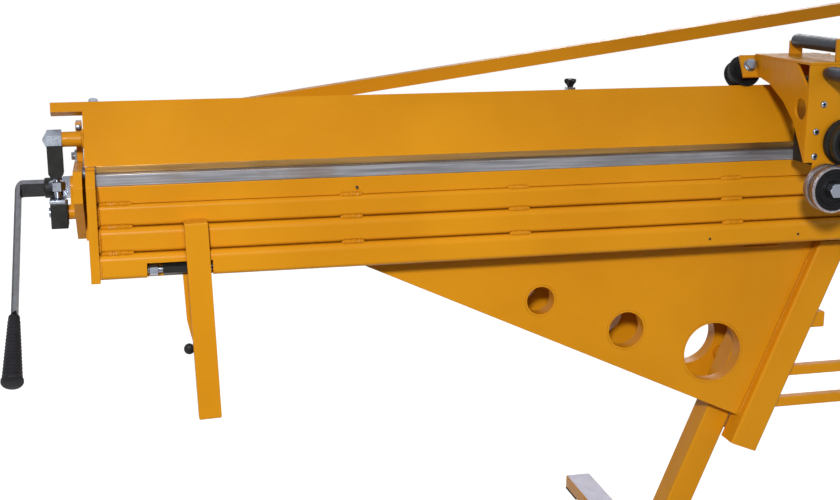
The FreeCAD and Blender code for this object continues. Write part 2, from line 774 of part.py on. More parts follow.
# Links that hang from the clamping beam and end in the slotted yokes
def build_links():
    arms, bodies, hardware, yokes = [], [], [], []
    pin_z = "-shaft_drop - crank_throw * sin(crank_angle * 1deg)"
    yoke_top = f"({pin_z} + pin_radius + yoke_slot_high + yoke_top_wall)"
    link_middle = "-(arm_length + link_width / 2)"
    link_low = "arm_height - link_drop"
    rod_nut_z = f"{link_low} - rod_nut_gap - rod_nut_height / 2"
    for side in (LEFT, RIGHT):
        tag = side + 1
        x = from_end(side, "-arm_length / 2")
        arms.append(rod(f"arm_{tag}", "X", "arm_radius", "arm_length",
                        (x, "arm_back", "arm_height")))
        x = from_end(side, link_middle)
        centre = (x, "arm_back", "arm_height")
        hardware.append(hexagon(f"link_nut_{tag}", "X", "link_flats", "link_width", centre))
        seat = hexagon(f"link_seat_{tag}", "X", "link_flats", "2 * link_width", centre)
        body_top = "arm_height - link_flats / 4"
        height = f"({body_top}) - ({link_low})"
        solid = box(f"link_block_{tag}", ("link_width", "link_depth", height),
                    (x, "arm_back", f"{link_low} + ({height}) / 2"))
        bodies.append(cut(f"link_body_{tag}", solid, seat))
        stud_x = from_end(side, "-(arm_length + link_width + link_stud / 2)")
        hardware.append(rod(f"link_stud_{tag}", "X", "rod_radius + washer_height / 2", "link_stud",
                            (stud_x, "arm_back", "arm_height")))

        low = f"{yoke_top} + washer_height"
        length = f"({link_low}) - ({low})"
        shank = rod(f"rod_{tag}", "Z", "rod_radius", length,
                    (x, "arm_back", f"{low} + ({length}) / 2"))
        hardware.append(shank)
        centre = (x, "arm_back", rod_nut_z)
        outer = hexagon(f"rod_nut_outer_{tag}", "Z", "rod_nut_flats", "rod_nut_height", centre)
        bore = rod(f"rod_nut_bore_{tag}", "Z", "rod_radius + fixed_fit", "2 * rod_nut_height",
                   centre)
        hardware.append(cut(f"rod_nut_{tag}", outer, bore))
        hardware.append(box(f"washer_{tag}", ("washer_side", "yoke_depth", "washer_height"),
                            (x, "arm_back", f"{yoke_top} + washer_height / 2")))

        block_x = from_end(side, "-(arm_length - (yoke_width - link_width) + yoke_width / 2)")
        block = box(f"yoke_{tag}", ("yoke_width", "yoke_depth", "yoke_height"),
                    (block_x, "arm_back", f"{yoke_top} - yoke_height / 2"))
        slot_front = "shaft_back - crank_throw - pin_radius - yoke_slot_side"
        slot_back = ("shaft_back - crank_throw * cos(crank_angle * 1deg)"
                     " + pin_radius + yoke_slot_side")
        slot_low = f"{pin_z} - pin_radius - yoke_slot_low"
        slot_high = f"{pin_z} + pin_radius + yoke_slot_high"
        slot = box(
            f"yoke_slot_{tag}",
            ("2 * yoke_width", f"({slot_back}) - ({slot_front})", f"({slot_high}) - ({slot_low})"),
            (block_x, f"(({slot_back}) + ({slot_front})) / 2",
             f"(({slot_high}) + ({slot_low})) / 2"))
        yokes.append(cut(f"yoke_block_{tag}", block, slot))
    add("clamp_arms", group("clamp_arms", arms))
    add("link_bodies", group("link_bodies", bodies))
    add("link_hardware", group("link_hardware", hardware))
    add("yoke_blocks", group("yoke_blocks", yokes))


# Truss above the clamping beam
def build_truss():
    rise = "tan(truss_slope * 1deg)"
    thick = "truss_side / cos(truss_slope * 1deg)"
    apex = f"(truss_end_height + (apron_length / 2 - truss_side / 2) * {rise})"
    y = "truss_offset + truss_side / 2"
    pieces = []
    for side in (LEFT, RIGHT):
        outline = [
            (from_end(side, "0"), "truss_end_height"),
            (f"{side} * truss_side / 2", apex),
            (f"{side} * truss_side / 2", f"{apex} + {thick}"),
            (from_end(side, "0"), f"truss_end_height + {thick}"),
        ]
        pieces.append(plate(f"truss_bar_{side + 1}", "XZ", outline, "truss_side", ("0", y, "0")))

    floor_top = f"{NOSE_TOP} + clamp_plate"
    reach = "truss_offset + truss_side - clamp_back"
    for side in (LEFT, 0, RIGHT):
        x = f"{side} * (apron_length / 2 - truss_side / 2)"
        centre = (x, f"clamp_back + ({reach}) / 2", f"{NOSE_TOP} + clamp_plate / 2")
        pieces.append(box(f"truss_foot_{side + 1}", ("truss_side", reach, "clamp_plate"), centre))
        if side:
            top = f"truss_end_height - ({floor_top})"
            start = from_end(side, "0")
            inner = from_end(side, "truss_side")
            outline = [(start, floor_top), (inner, floor_top),
                       (inner, f"truss_end_height + truss_side * {rise}"),
                       (start, "truss_end_height")]
            pieces.append(plate(f"truss_pad_{side + 1}", "XZ", outline, "truss_side",
                                ("0", y, "0")))
        else:
            top = f"({apex} + {thick}) - ({floor_top})"
            centre = ("0", y, f"{floor_top} + ({top}) / 2")
            pieces.append(box("truss_post", ("truss_side", "truss_side", top), centre))
    add("truss", group("truss", pieces))


# Star knobs behind the clamping beam's top bar
def build_knobs():
    rear_slope = f"({on_slope('clamp_slope + top_bar_side / 2', 'top_bar_side')[1]}"
    rear_slope += f" - ({NOSE_TOP} + clamp_plate))"
    rear_run = f"(clamp_back - ({on_slope('clamp_slope + top_bar_side / 2', 'top_bar_side')[0]}))"
    posts = []
    for side, word in ((LEFT, "left"), (RIGHT, "right")):
        x = from_end(side, "knob_inset")
        front = "knob_back - knob_post_side / 2"
        back = "knob_back + knob_post_side / 2"
        foot = f"{NOSE_TOP} + clamp_plate"
        outline = [
            (back, f"{foot} + (clamp_back - ({back})) * {rear_slope} / {rear_run}"),
            (back, "knob_height"),
            (front, "knob_height"),
            (front, f"{foot} + (clamp_back - ({front})) * {rear_slope} / {rear_run}"),
        ]
        post = plate(f"knob_post_{word}", "YZ", outline, "knob_post_side", (x, *BEND))
        stud_length = "star_height + star_cone_height - 2 * body_gap"
        stud = rod(f"knob_stud_{word}", "Z", "star_stud_radius", stud_length,
                   (x, "knob_back", f"knob_height + ({stud_length}) / 2"))
        posts.append(fuse(f"knob_support_{word}", [post, stud]))

        foot = doc.addObject("Part::Cone", f"star_foot_{word}")
        foot.setExpression("Radius1", bound("star_foot_radius"))
        foot.setExpression("Radius2", bound("star_core_radius"))
        foot.setExpression("Height", bound("star_cone_height"))
        set_place(foot, x, "knob_back", "knob_height + body_gap")
        z = "knob_height + body_gap + star_cone_height + star_height / 2"
        core = rod(f"star_core_{word}", "Z", "star_core_radius", "star_height",
                   (x, "knob_back", z))
        lobes = []
        for i in range(SIZES["star_lobes"]):
            angle = f"({i} * 360deg / star_lobes)"
            lobes.append(rod(
                f"star_lobe_{word}_{i}", "Z", "star_lobe_radius", "star_height",
                (f"{x} + (star_radius - star_lobe_radius) * cos{angle}",
                 f"knob_back + (star_radius - star_lobe_radius) * sin{angle}", z)))
        knob = fuse(f"star_solid_{word}", [foot, core] + lobes)
        bore_length = f"2 * ({stud_length} + body_gap)"
        bore = rod(f"star_bore_{word}", "Z", "star_stud_radius + running_fit", bore_length,
                   (x, "knob_back", "knob_height"))
        name = f"star_knob_{word}"
        add(name, cut(name, knob, bore))
    add("knob_posts", group("knob_posts", posts))


# Crank shaft with its webs, pins, nuts and levers
def build_crank():
    axis = ("shaft_back", "-shaft_drop")
    stub_start = "web_outer + web_thickness"
    main = rod("shaft_main", "X", "shaft_radius", f"apron_length - 2 * ({stub_start})",
               ("0", *axis))
    whole = rod("shaft_ends", "X", "shaft_end_radius", "apron_length - 2 * shaft_end",
                ("0", *axis))
    add("crank_shaft", fuse("crank_shaft", [main, whole]))

    pin_y = "(shaft_back - crank_throw * cos(crank_angle * 1deg))"
    pin_z = "(-shaft_drop - crank_throw * sin(crank_angle * 1deg))"
    webs, pins, nuts, levers, grips = [], [], [], [], []
    for side in (LEFT, RIGHT):
        tag = side + 1
        x = from_end(side, "web_outer + web_thickness / 2")
        hub = rod(f"web_hub_{tag}", "X", "web_hub_radius", "web_thickness", (x, *axis))
        end = rod(f"web_end_{tag}", "X", "web_half_width", "web_thickness", (x, pin_y, pin_z))
        arm = doc.addObject("Part::Box", f"web_arm_{tag}")
        arm.setExpression("Length", bound("web_thickness"))
        arm.setExpression("Width", bound("2 * web_half_width"))
        arm.setExpression("Height", bound("crank_throw"))
        # The arm's long side runs from the shaft towards the pin.
        turn = FreeCAD.Rotation(X_AXIS, 90 + SIZES["crank_angle"])
        arm.Placement = FreeCAD.Placement(FreeCAD.Vector(), turn)
        arm.setExpression("Placement.Rotation.Angle", bound("(90 + crank_angle) * 1deg"))
        set_place(arm, f"{x} - web_thickness / 2",
                  "shaft_back + web_half_width * sin(crank_angle * 1deg)",
                  "-shaft_drop - web_half_width * cos(crank_angle * 1deg)")
        boss_x = from_end(side, "web_outer - pin_boss_length / 2")
        boss = rod(f"web_boss_{tag}", "X", "web_half_width", "pin_boss_length",
                   (boss_x, pin_y, pin_z))
        solid = fuse(f"web_solid_{tag}", [hub, end, arm, boss])
        shaft_hole = rod(f"web_bore_{tag}", "X", "shaft_end_radius + fixed_fit",
                         "3 * web_thickness", (x, *axis))
        pin_hole = rod(f"web_pin_bore_{tag}", "X", "pin_radius + fixed_fit",
                       "4 * web_thickness", (x, pin_y, pin_z))
        webs.append(cut(f"web_{tag}", solid, fuse(f"web_bores_{tag}", [shaft_hole, pin_hole])))

        yoke_outer = "-(arm_length - (yoke_width - link_width) + yoke_width)"
        head_start = f"({yoke_outer} - body_gap - pin_head_height)"
        length = f"(web_outer + web_thickness) - {head_start}"
        x = from_end(side, f"{head_start} + ({length}) / 2")
        shank = rod(f"pin_shank_{tag}", "X", "pin_radius", length, (x, pin_y, pin_z))
        x = from_end(side, f"{head_start} + pin_head_height / 2")
        head = rod(f"pin_head_{tag}", "X", "pin_head_radius", "pin_head_height",
                   (x, pin_y, pin_z))
        pins.append(fuse(f"pin_{tag}", [shank, head]))

        x = from_end(side, "web_outer - shaft_nut_length / 2")
        outer = hexagon(f"shaft_nut_outer_{tag}", "X", "shaft_nut_flats", "shaft_nut_length",
                        (x, *axis))
        bore = rod(f"shaft_nut_bore_{tag}", "X", "shaft_end_radius + fixed_fit",
                   "2 * shaft_nut_length", (x, *axis))
        nuts.append(cut(f"shaft_nut_{tag}", outer, bore))

        hub_length = "web_outer - shaft_nut_length - shaft_end"
        x = from_end(side, f"shaft_end + ({hub_length}) / 2")
        outer = rod(f"lever_hub_outer_{tag}", "X", "hub_radius", hub_length, (x, *axis))
        bore = rod(f"lever_hub_bore_{tag}", "X", "shaft_end_radius + fixed_fit",
                   f"2 * ({hub_length})", (x, *axis))
        nuts.append(cut(f"lever_hub_{tag}", outer, bore))
        levers.append(build_lever(side))
        grips.append(build_grip(side))
    add("crank_webs", group("crank_webs", webs))
    add("crank_pins", group("crank_pins", pins))
    add("shaft_nuts", group("shaft_nuts", nuts))
    add("crank_levers", group("crank_levers", levers))
    add("lever_grips", group("lever_grips", grips))


def build_lever(side):
    """A flat bar bent the easy way: first along the shaft's axis, then out to the grip."""
    tag = side + 1
    half = "lever_thickness / 2"
    start = f"{side} * (-shaft_end)"
    far = f"{side} * lever_reach"
    inner = f"{side} * (lever_reach - lever_thickness)"
    outline = [(start, half), (far, half), (far, "-lever_length"), (inner, "-lever_length"),
               (inner, f"-{half}"), (start, f"-{half}")]
    body = doc.addObject("PartDesign::Body", f"lever_{tag}")
    sketch = new_sketch(body, "XZ", f"lever_{tag}_outline")
    draw_outline(sketch, outline)
    pad = body.newObject("PartDesign::Pad", f"lever_{tag}_pad")
    pad.Profile = sketch
    pad.SideType = "Symmetric"
    pad.setExpression("Length", bound("lever_width"))
    body.Tip = pad

    def at_corner(edge, x, z):
        start, end = (v.Point for v in edge.Vertexes)
        return abs(start.x - end.x) < 0.01 and near(start.x, x) and near(start.z, z)

    soften(body, "lever_bend_radius", lambda e: at_corner(e, far, half))
    soften(body, "lever_bend_radius - lever_thickness",
           lambda e: at_corner(e, inner, f"-{half}"))
    body.Placement = FreeCAD.Placement(FreeCAD.Vector(),
                                       FreeCAD.Rotation(X_AXIS, -SIZES["lever_angle"]))
    body.setExpression("Placement.Rotation.Angle", bound("-lever_angle * 1deg"))
    set_place(body, f"{side} * apron_length / 2", "shaft_back", "-shaft_drop")
    return body


def build_grip(side):
    tag = side + 1
    x = from_end(side, "-(lever_reach - lever_thickness / 2)")
    flange_start = "lever_length + grip_length - grip_flange_height"
    taper = doc.addObject("Part::Cone", f"grip_taper_{tag}")
    taper.setExpression("Radius1", bound("grip_radius"))
    taper.setExpression("Radius2", bound("grip_neck_radius"))
    taper.setExpression("Height", bound("grip_length - grip_flange_height"))
    flange = doc.addObject("Part::Cylinder", f"grip_flange_{tag}")
    flange.setExpression("Radius", bound("grip_flange_radius"))
    flange.setExpression("Height", bound("grip_flange_height"))
    for item, reach in ((taper, flange_start), (flange, "lever_length + grip_length")):
        turn = FreeCAD.Rotation(X_AXIS, -SIZES["lever_angle"])
        item.Placement = FreeCAD.Placement(FreeCAD.Vector(), turn)
        item.setExpression("Placement.Rotation.Angle", bound("-lever_angle * 1deg"))
        set_place(item, x, f"shaft_back - ({reach}) * sin(lever_angle * 1deg)",
                  f"-shaft_drop - ({reach}) * cos(lever_angle * 1deg)")
    return fuse(f"grip_{tag}", [taper, flange])


# Apron
def is_along(edge, y, z):
    """Whether an edge runs along X at this point of a section."""
    return all(near(v.Point.y, y) and near(v.Point.z, z) for v in edge.Vertexes)


def build_apron():
    strip_low = "-strip_height"
    size = (INNER_LENGTH, "strip_depth - body_gap", "strip_height - body_gap")
    centre = ("0", "-(strip_depth + body_gap) / 2", "-(strip_height + body_gap) / 2")
    add("apron_strip", box("apron_strip", size, centre))

    previous = strip_low
    for letter in "abcd":
        front, back = f"-plate_{letter}_front", f"-plate_{letter}_back"
        low = f"-plate_{letter}_low"
        outline = [(front, low), (back, low), (back, previous), (front, previous)]
        name = f"apron_plate_{letter}"
        body = plate(name, "YZ", outline, INNER_LENGTH, ("0", *BEND))
        if letter != "a":
            body = soften(body, f"plate_{letter}_round", lambda e: is_along(e, front, previous))
            body = soften(body, "plate_low_round", lambda e: is_along(e, front, low))
        if letter == "d":
            body = notch_for_rods(body)
        add(name, body)
        previous = low

    boss = ("pivot_boss_radius", "pivot_radius + fixed_fit")
    outline = [
        ("-end_plate_front", "end_plate_top - end_plate_chamfer"),
        ("-end_plate_front", "-apron_depth"),
        ("-plate_a_back", "-apron_depth"),
        ("-plate_a_back", "end_plate_top"),
        ("end_plate_chamfer - end_plate_front", "end_plate_top"),
    ]
    ends, pins = [], []
    for side in (LEFT, RIGHT):
        tag = side + 1
        x = from_end(side, "apron_end + apron_end_thickness / 2")
        flat = plate(f"apron_end_flat_{tag}", "YZ", outline, "apron_end_thickness", (x, *BEND))
        ring = rod(f"apron_boss_{tag}", "X", boss[0], "apron_end_thickness", (x, *BEND))
        bore = rod(f"apron_bore_{tag}", "X", boss[1], "2 * apron_end_thickness", (x, *BEND))
        ends.append(cut(f"apron_end_{tag}", fuse(f"apron_end_whole_{tag}", [flat, ring]), bore))
        start = "end_plate_outer"
        length = f"apron_end + apron_end_thickness - {start}"
        x = from_end(side, f"{start} + ({length}) / 2")
        pins.append(rod(f"pivot_{tag}", "X", "pivot_radius", length, (x, *BEND)))
    add("apron_end_plates", group("apron_end_plates", ends))
    add("apron_pivot_pins", group("apron_pivot_pins", pins))


def notch_for_rods(body):
    """Cut the two recesses in the lowest plate that hold the tension rods."""
    tools = []
    for side in (LEFT, RIGHT):
        x = from_end(side, "recess_start + recess_length / 2")
        y = "-plate_d_front + recess_depth / 2"
        z = "-plate_d_low + recess_height / 2"
        size = ("recess_length", "recess_depth", "recess_height")
        tools.append(box(f"recess_{side + 1}", size, (x, y, z)))
    return cut("apron_plate_d_notched", body, fuse("recesses", tools))


# Apron handles, their backing plates, knobs and tension rods
def build_handles():
    handles, backings, knobs, rods = [], [], [], []
    back_below = "handle_depth - handle_front"
    gap = "handle_step_gap"
    low = "-(handle_top + handle_length)"
    outline = [
        ("-handle_front", "0"),
        ("-handle_front", f"{low} + handle_top"),
        (back_below, f"{low} + handle_top"),
        (back_below, f"handle_top - plate_d_low - {gap}"),
        ("-plate_d_front", f"handle_top - plate_d_low - {gap}"),
        ("-plate_d_front", f"handle_top - plate_c_low + {gap}"),
        ("-plate_c_front", f"handle_top - plate_c_low + {gap}"),
        ("-plate_c_front", f"handle_top - plate_b_low + {gap}"),
        ("-plate_b_front", f"handle_top - plate_b_low + {gap}"),
        ("-plate_b_front", "0"),
    ]
    for side in (LEFT, RIGHT):
        tag = side + 1
        body = plate(f"handle_{tag}", "YZ", outline, "handle_width",
                     (from_end(side, "handle_inset"), "0", "-handle_top"))
        # The foot of the handle leans towards the middle of the machine.
        turn = FreeCAD.Rotation(Y_AXIS * side, SIZES["handle_splay"])
        body.Placement = FreeCAD.Placement(body.Placement.Base, turn)
        body.setExpression("Placement.Rotation.Angle", bound("handle_splay * 1deg"))
        handles.append(body)

        start, end = "apron_depth", "apron_depth + handle_plate_length"
        bend = f"({start} + 2 * ({end})) / 3"
        lean = "tan(handle_splay * 1deg)"

        def edge_at(drop, offset):
            return from_end(side, f"handle_inset + (({drop}) - handle_top) * {lean} + ({offset})")

        face = [
            (edge_at("plate_d_low", "-handle_plate_width / 2 - 2 * handle_step_gap"),
             "-plate_d_low"),
            (edge_at("plate_d_low", "handle_width / 2"), "-plate_d_low"),
            (edge_at(end, "handle_width / 2 - handle_plate"), f"-({end})"),
            (edge_at(end, "-handle_width / 2"), f"-({end})"),
            (edge_at(bend, "-handle_plate_width / 2 - handle_step_gap"), f"-{bend}"),
        ]
        y = f"{back_below} + handle_plate / 2"
        backings.append(plate(f"handle_backing_{tag}", "XZ", face, "handle_plate", ("0", y, "0")))

        x = edge_at("handle_knob_drop", "-handle_knob_offset")
        knob_y = f"{back_below} + handle_knob_length / 2"
        knobs.append(rod(f"handle_knob_{tag}", "Y", "handle_knob_radius", "handle_knob_length",
                         (x, knob_y, "-handle_knob_drop")))

        rod_y = "-plate_d_front + recess_depth / 2"
        rod_z = "-plate_d_low + recess_height / 2"
        x = from_end(side, "recess_start + tension_rod_length / 2")
        rods.append(rod(f"tension_rod_{tag}", "X", "tension_rod_radius", "tension_rod_length",
                        (x, rod_y, rod_z)))
        for label, flats, length, offset in (
                ("nut", "tension_nut_flats", "tension_nut_length", "tension_nut_start"),
                ("coupling", "coupling_flats", "coupling_length", "coupling_start")):
            x = from_end(side, f"recess_start + {offset} + {length} / 2")
            outer = hexagon(f"tension_{label}_outer_{tag}", "X", flats, length, (x, rod_y, rod_z))
            bore = rod(f"tension_{label}_bore_{tag}", "X", "tension_rod_radius + fixed_fit",
                       f"2 * {length}", (x, rod_y, rod_z))
            rods.append(cut(f"tension_{label}_{tag}", outer, bore))
    add("apron_handles", group("apron_handles", handles))
    add("handle_backings", group("handle_backings", backings))
    add("handle_knobs", group("handle_knobs", knobs))
    add("tension_rods", group("tension_rods", rods))


# Roller cutter carriage
def from_carriage(offset):
    return f"carriage_place + ({offset})"


def build_carriage():
    side_outline = [
        ("side_back", "carriage_top"),
        ("side_front_cut - carriage_front", "carriage_top"),
        ("carriage_plate - carriage_front", "carriage_top - side_front_fall"),
        ("carriage_plate - carriage_front", "-carriage_low"),
        ("-side_shin_front", "side_shin"),
        ("-side_bend_front", "side_bend"),
        ("0", "side_knee"),
        ("side_heel_back", "side_heel"),
    ]
    sides = []
    for side in (LEFT, RIGHT):
        x = from_carriage(f"{side} * (carriage_width - carriage_plate) / 2")
        body = plate(f"carriage_side_{side + 1}", "YZ", side_outline, "carriage_plate", (x, *BEND))
        hole = ("-side_hole_front", "side_hole_height", "side_hole_radius")
        sides.append(drill(body, "YZ", [hole]))
    add("carriage_sides", group("carriage_sides", sides))

    half = "carriage_width / 2"
    tongue_left = "lower_cutter_shift - axle_tongue_width / 2"
    tongue_right = "lower_cutter_shift + axle_tongue_width / 2"
    face = [
        (f"-{half}", "carriage_top"),
        (f"-{half}", "-carriage_low"),
        (tongue_left, "-carriage_low"),
        (tongue_left, "-axle_tongue_low"),
        (tongue_right, "-axle_tongue_low"),
        (tongue_right, "-carriage_low"),
        (half, "-carriage_low"),
        (half, "carriage_top"),
    ]
    y = "-carriage_front + carriage_plate / 2"
    add("carriage_front_plate", plate("carriage_front_plate", "XZ", face, "carriage_plate",
                                      ("carriage_place", y, "0")))

    # A block behind the front plate holds the ends of both cutter axles.
    y = "carriage_plate - carriage_front + axle_block_depth / 2"
    size = ("axle_block_width", "axle_block_depth", "axle_block_high + axle_block_low")
    x = from_carriage("(upper_cutter_shift + lower_cutter_shift) / 2")
    z = "(axle_block_high - axle_block_low) / 2"
    add("axle_block", box("axle_block", size, (x, y, z)))

    # The shoe slides on the clamping beam's face; its rear end follows that slope.
    low = f"{NOSE_TOP} + body_gap"
    high = f"{low} + shoe_height"
    lean = "tan(clamp_lean * 1deg)"
    front = "carriage_plate - carriage_front + axle_block_depth"
    outline = [
        (f"body_gap * {lean} - body_gap / {COS}", low),
        (f"(body_gap + shoe_height) * {lean} - body_gap / {COS}", high),
        (front, high),
        (front, low),
    ]
    x = from_carriage("shoe_shift")
    add("guide_shoe", plate("guide_shoe", "YZ", outline, "shoe_width", (x, *BEND)))
    build_wheel_plate()


def on_bar_top(out, height):
    """A point of the YZ plane, from the middle of the bar's top face: along it, above it."""
    middle = on_slope("clamp_slope + top_bar_side", "top_bar_side / 2")
    return (f"{middle[0]} + ({out}) * {COS} + ({height}) * {SIN}",
            f"{middle[1]} - ({out}) * {SIN} + ({height}) * {COS}")


def build_wheel_plate():
    """The cross plate leans like the clamping beam; its two ends carry the guide wheels."""
    back = "-wheel_plate_back"
    front = "-(wheel_plate_back + carriage_plate)"
    low = "wheel_radius - wheel_plate_height / 2"
    high = "wheel_radius + wheel_plate_height / 2"
    outline = [on_bar_top(front, low), on_bar_top(back, low), on_bar_top(back, high),
               on_bar_top(front, high)]
    length = "carriage_width + 2 * wheel_plate_tab"
    add("wheel_plate", plate("wheel_plate", "YZ", outline, length, ("carriage_place", *BEND)))


def lay_across_bar(item, length, x, out, height):
    """Turn a cylinder or prism square to the wheel plate and place it by its middle."""
    item.setExpression("Height", bound(length))
    turn = FreeCAD.Rotation(X_AXIS, -90 - SIZES["clamp_lean"])
    item.Placement = FreeCAD.Placement(FreeCAD.Vector(), turn)
    item.setExpression("Placement.Rotation.Angle", bound("-(90 + clamp_lean) * 1deg"))
    y, z = on_bar_top(f"{out} - ({length}) / 2", height)
    set_place(item, x, y, z)
    return item


def across_bar(label, radius, length, x, out, height):
    item = doc.addObject("Part::Cylinder", label)
    item.setExpression("Radius", bound(radius))
    return lay_across_bar(item, length, x, out, height)


def build_wheels():
    """Each wheel is a tread between two side discs that grip the clamping beam's top bar."""
    bolts = []
    height = "wheel_radius + body_gap"
    half = "(wheel_groove_width / 2 + wheel_flange_width)"
    disc_out = "(wheel_groove_width + wheel_flange_width) / 2"
    plate_front = "(-(wheel_plate_back + carriage_plate))"
    for side, word in ((LEFT, "left"), (RIGHT, "right")):
        x = from_carriage(f"{side} * (carriage_width / 2 + wheel_overhang)")
        rings = []
        for ring, radius, length, out in (
                ("front_disc", "wheel_radius + wheel_flange", "wheel_flange_width", f"-{disc_out}"),
                ("tread", "wheel_radius", "wheel_groove_width", "0"),
                ("rear_disc", "wheel_radius + wheel_flange", "wheel_flange_width", disc_out)):
            name = f"wheel_{ring}_{word}"
            solid = across_bar(f"{name}_whole", radius, length, x, out, height)
            bore = across_bar(f"{name}_bore", "wheel_bolt_radius + running_fit",
                              f"2 * {length}", x, out, height)
            rings.append(cut(name, solid, bore))
        name = f"guide_wheel_{word}"
        add(name, group(name, rings))

        start = "(-wheel_plate_back)"
        shank_end = f"({half} + body_gap)"
        length = f"{shank_end} - {start}"
        shank = across_bar(f"wheel_shank_{word}", "wheel_bolt_radius", length, x,
                           f"({shank_end} + {start}) / 2", height)
        cap = across_bar(f"wheel_cap_{word}", "wheel_cap_radius", "wheel_cap", x,
                         f"{shank_end} + wheel_cap / 2", height)
        bolts.append(fuse(f"wheel_bolt_{word}", [shank, cap]))

        washer = across_bar(f"wheel_washer_{word}", "wheel_washer_radius", "wheel_washer",
                            x, f"{plate_front} - wheel_washer / 2", height)
        head = doc.addObject("Part::Prism", f"wheel_head_{word}")
        head.Polygon = 6
        head.setExpression("Circumradius", bound("wheel_head_flats / 2 / cos(30deg)"))
        lay_across_bar(head, "wheel_head_height", x,
                       f"{plate_front} - wheel_washer - wheel_head_height / 2", height)
        bolts.append(fuse(f"wheel_bolt_head_{word}", [washer, head]))
    return bolts


def build_cutters(axles):
    face = "-carriage_front"
    rear = f"({face} - cutter_standoff)"
    heights = {"upper": "upper_cutter_height", "lower": "-lower_cutter_drop"}
    for word, z in heights.items():
        x = from_carriage(f"{word}_cutter_shift")
        radius = f"{word}_cutter_radius"
        back_disc = rod(f"{word}_back_disc", "Y", radius, "cutter_disc",
                        (x, f"{rear} - cutter_disc / 2", z))
        front_disc = rod(f"{word}_front_disc", "Y", radius, "cutter_disc",
                         (x, f"{rear} - cutter_length + cutter_disc / 2", z))
        drum = rod(f"{word}_drum", "Y", f"{radius} - cutter_groove", "cutter_length",
                   (x, f"{rear} - cutter_length / 2", z))
        bore = rod(f"{word}_bore", "Y", "cutter_axle_radius + running_fit", "2 * cutter_length",
                   (x, f"{rear} - cutter_length / 2", z))
        name = f"{word}_cutter"
        solid = fuse(f"{word}_solid", [back_disc, front_disc, drum])
        add(name, cut(name, solid, bore))
        length = "(cutter_standoff + cutter_length + body_gap)"
        shank = rod(f"{word}_axle", "Y", "cutter_axle_radius", length,
                    (x, f"{face} - {length} / 2", z))
        spacer_length = "cutter_standoff - body_gap"
        spacer = rod(f"{word}_spacer", "Y", "cutter_spacer_radius", spacer_length,
                     (x, f"{face} - ({spacer_length}) / 2", z))
        nut = hexagon(f"{word}_nut", "Y", "cutter_nut_flats", "cutter_nut_height",
                      (x, f"{face} - {length} - cutter_nut_height / 2", z))
        axles.append(fuse(f"{word}_axle_whole", [shank, spacer, nut]))
    add("carriage_axles", group("carriage_axles", axles))


def build_carriage_fittings():
    x = "carriage_place"
    depth = "carriage_front + side_back"
    centre = (x, "(side_back - carriage_front) / 2", "carriage_top + carriage_plate / 2")
    roof = box("carriage_roof", ("carriage_width", depth, "carriage_plate"), centre)
    # The roof stops where the leaning wheel plate passes through its plane.
    front = "-(wheel_plate_back + carriage_plate)"
    low = "-wheel_plate_height"
    high = "2 * wheel_plate_height"
    outline = [on_bar_top(front, low), on_bar_top("wheel_plate_height", low),
               on_bar_top("wheel_plate_height", high), on_bar_top(front, high)]
    behind = plate("behind_wheel_plate", "YZ", outline, "2 * carriage_width", (x, *BEND))
    tops = [cut("carriage_roof_trimmed", roof, behind)]
    middle = "top_grip_back - top_grip_length / 2"
    grips = [rod("top_grip", "Y", "top_grip_radius", "top_grip_length",
                 (x, middle, "top_grip_height"))]
    flange_top = "carriage_top + carriage_plate"
    # The front bracket covers the grip's whole end, the rear one stops at its axis.
    for end, top in ((-1, "top_grip_height + top_grip_radius"), (1, "top_grip_height")):
        height = f"({top} - ({flange_top}))"
        y = f"{middle} + {end} * (top_grip_length + carriage_plate) / 2"
        size = ("grip_bracket_width", "carriage_plate", height)
        tops.append(box(f"grip_bracket_{end + 1}", size, (x, y, f"{flange_top} + {height} / 2")))
    add("carriage_roof", group("carriage_roof", tops))

    x = from_carriage("front_grip_shift")
    y = "-carriage_front - front_grip_length / 2"
    grips.append(rod("front_grip", "Y", "front_grip_radius", "front_grip_length",
                     (x, y, "front_grip_height")))
    add("carriage_grips", group("carriage_grips", grips))

    screws = []
    steps = {"top": 1, "middle": 0, "low": 0}
    for side in (LEFT, RIGHT):
        for word, step in steps.items():
            offset = f"(carriage_width / 2 - screw_inset - {step} * screw_step)"
            centre = (from_carriage(f"{side} * {offset}"), "-carriage_front - screw_head / 2",
                      f"{word}_screw_height")
            screws.append(rod(f"screw_{word}_{side + 1}", "Y", "screw_radius", "screw_head",
                              centre))
    add("carriage_screws", group("carriage_screws", screws))


# Checks and export
def check_document():
    for item in doc.Objects:
        if "Invalid" in item.State or "Error" in item.State:
            raise RuntimeError(f"{item.Name} failed: {item.State}")
    for name, item in nodes.items():
        if item.Shape.isNull() or not item.Shape.isValid() or item.Shape.Volume < 1:
            raise RuntimeError(f"{name} has no valid shape")


def export_parts():
    for name, item in nodes.items():
        item.Shape.exportStep(f"parts/{name}.step")


build_base_beam()
frame_bolts = build_end_plates()
build_stand(frame_bolts)
build_clamp()
build_links()
build_truss()
build_knobs()
build_crank()
build_apron()
build_handles()
build_carriage()
build_cutters(build_wheels())
build_carriage_fittings()
doc.recompute()
check_document()
export_parts()
print(len(nodes), "sub-parts,", sum(len(n.Shape.Solids) for n in nodes.values()), "solids")
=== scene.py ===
import json
import math

import bmesh
import bpy
from mathutils import Matrix, Vector


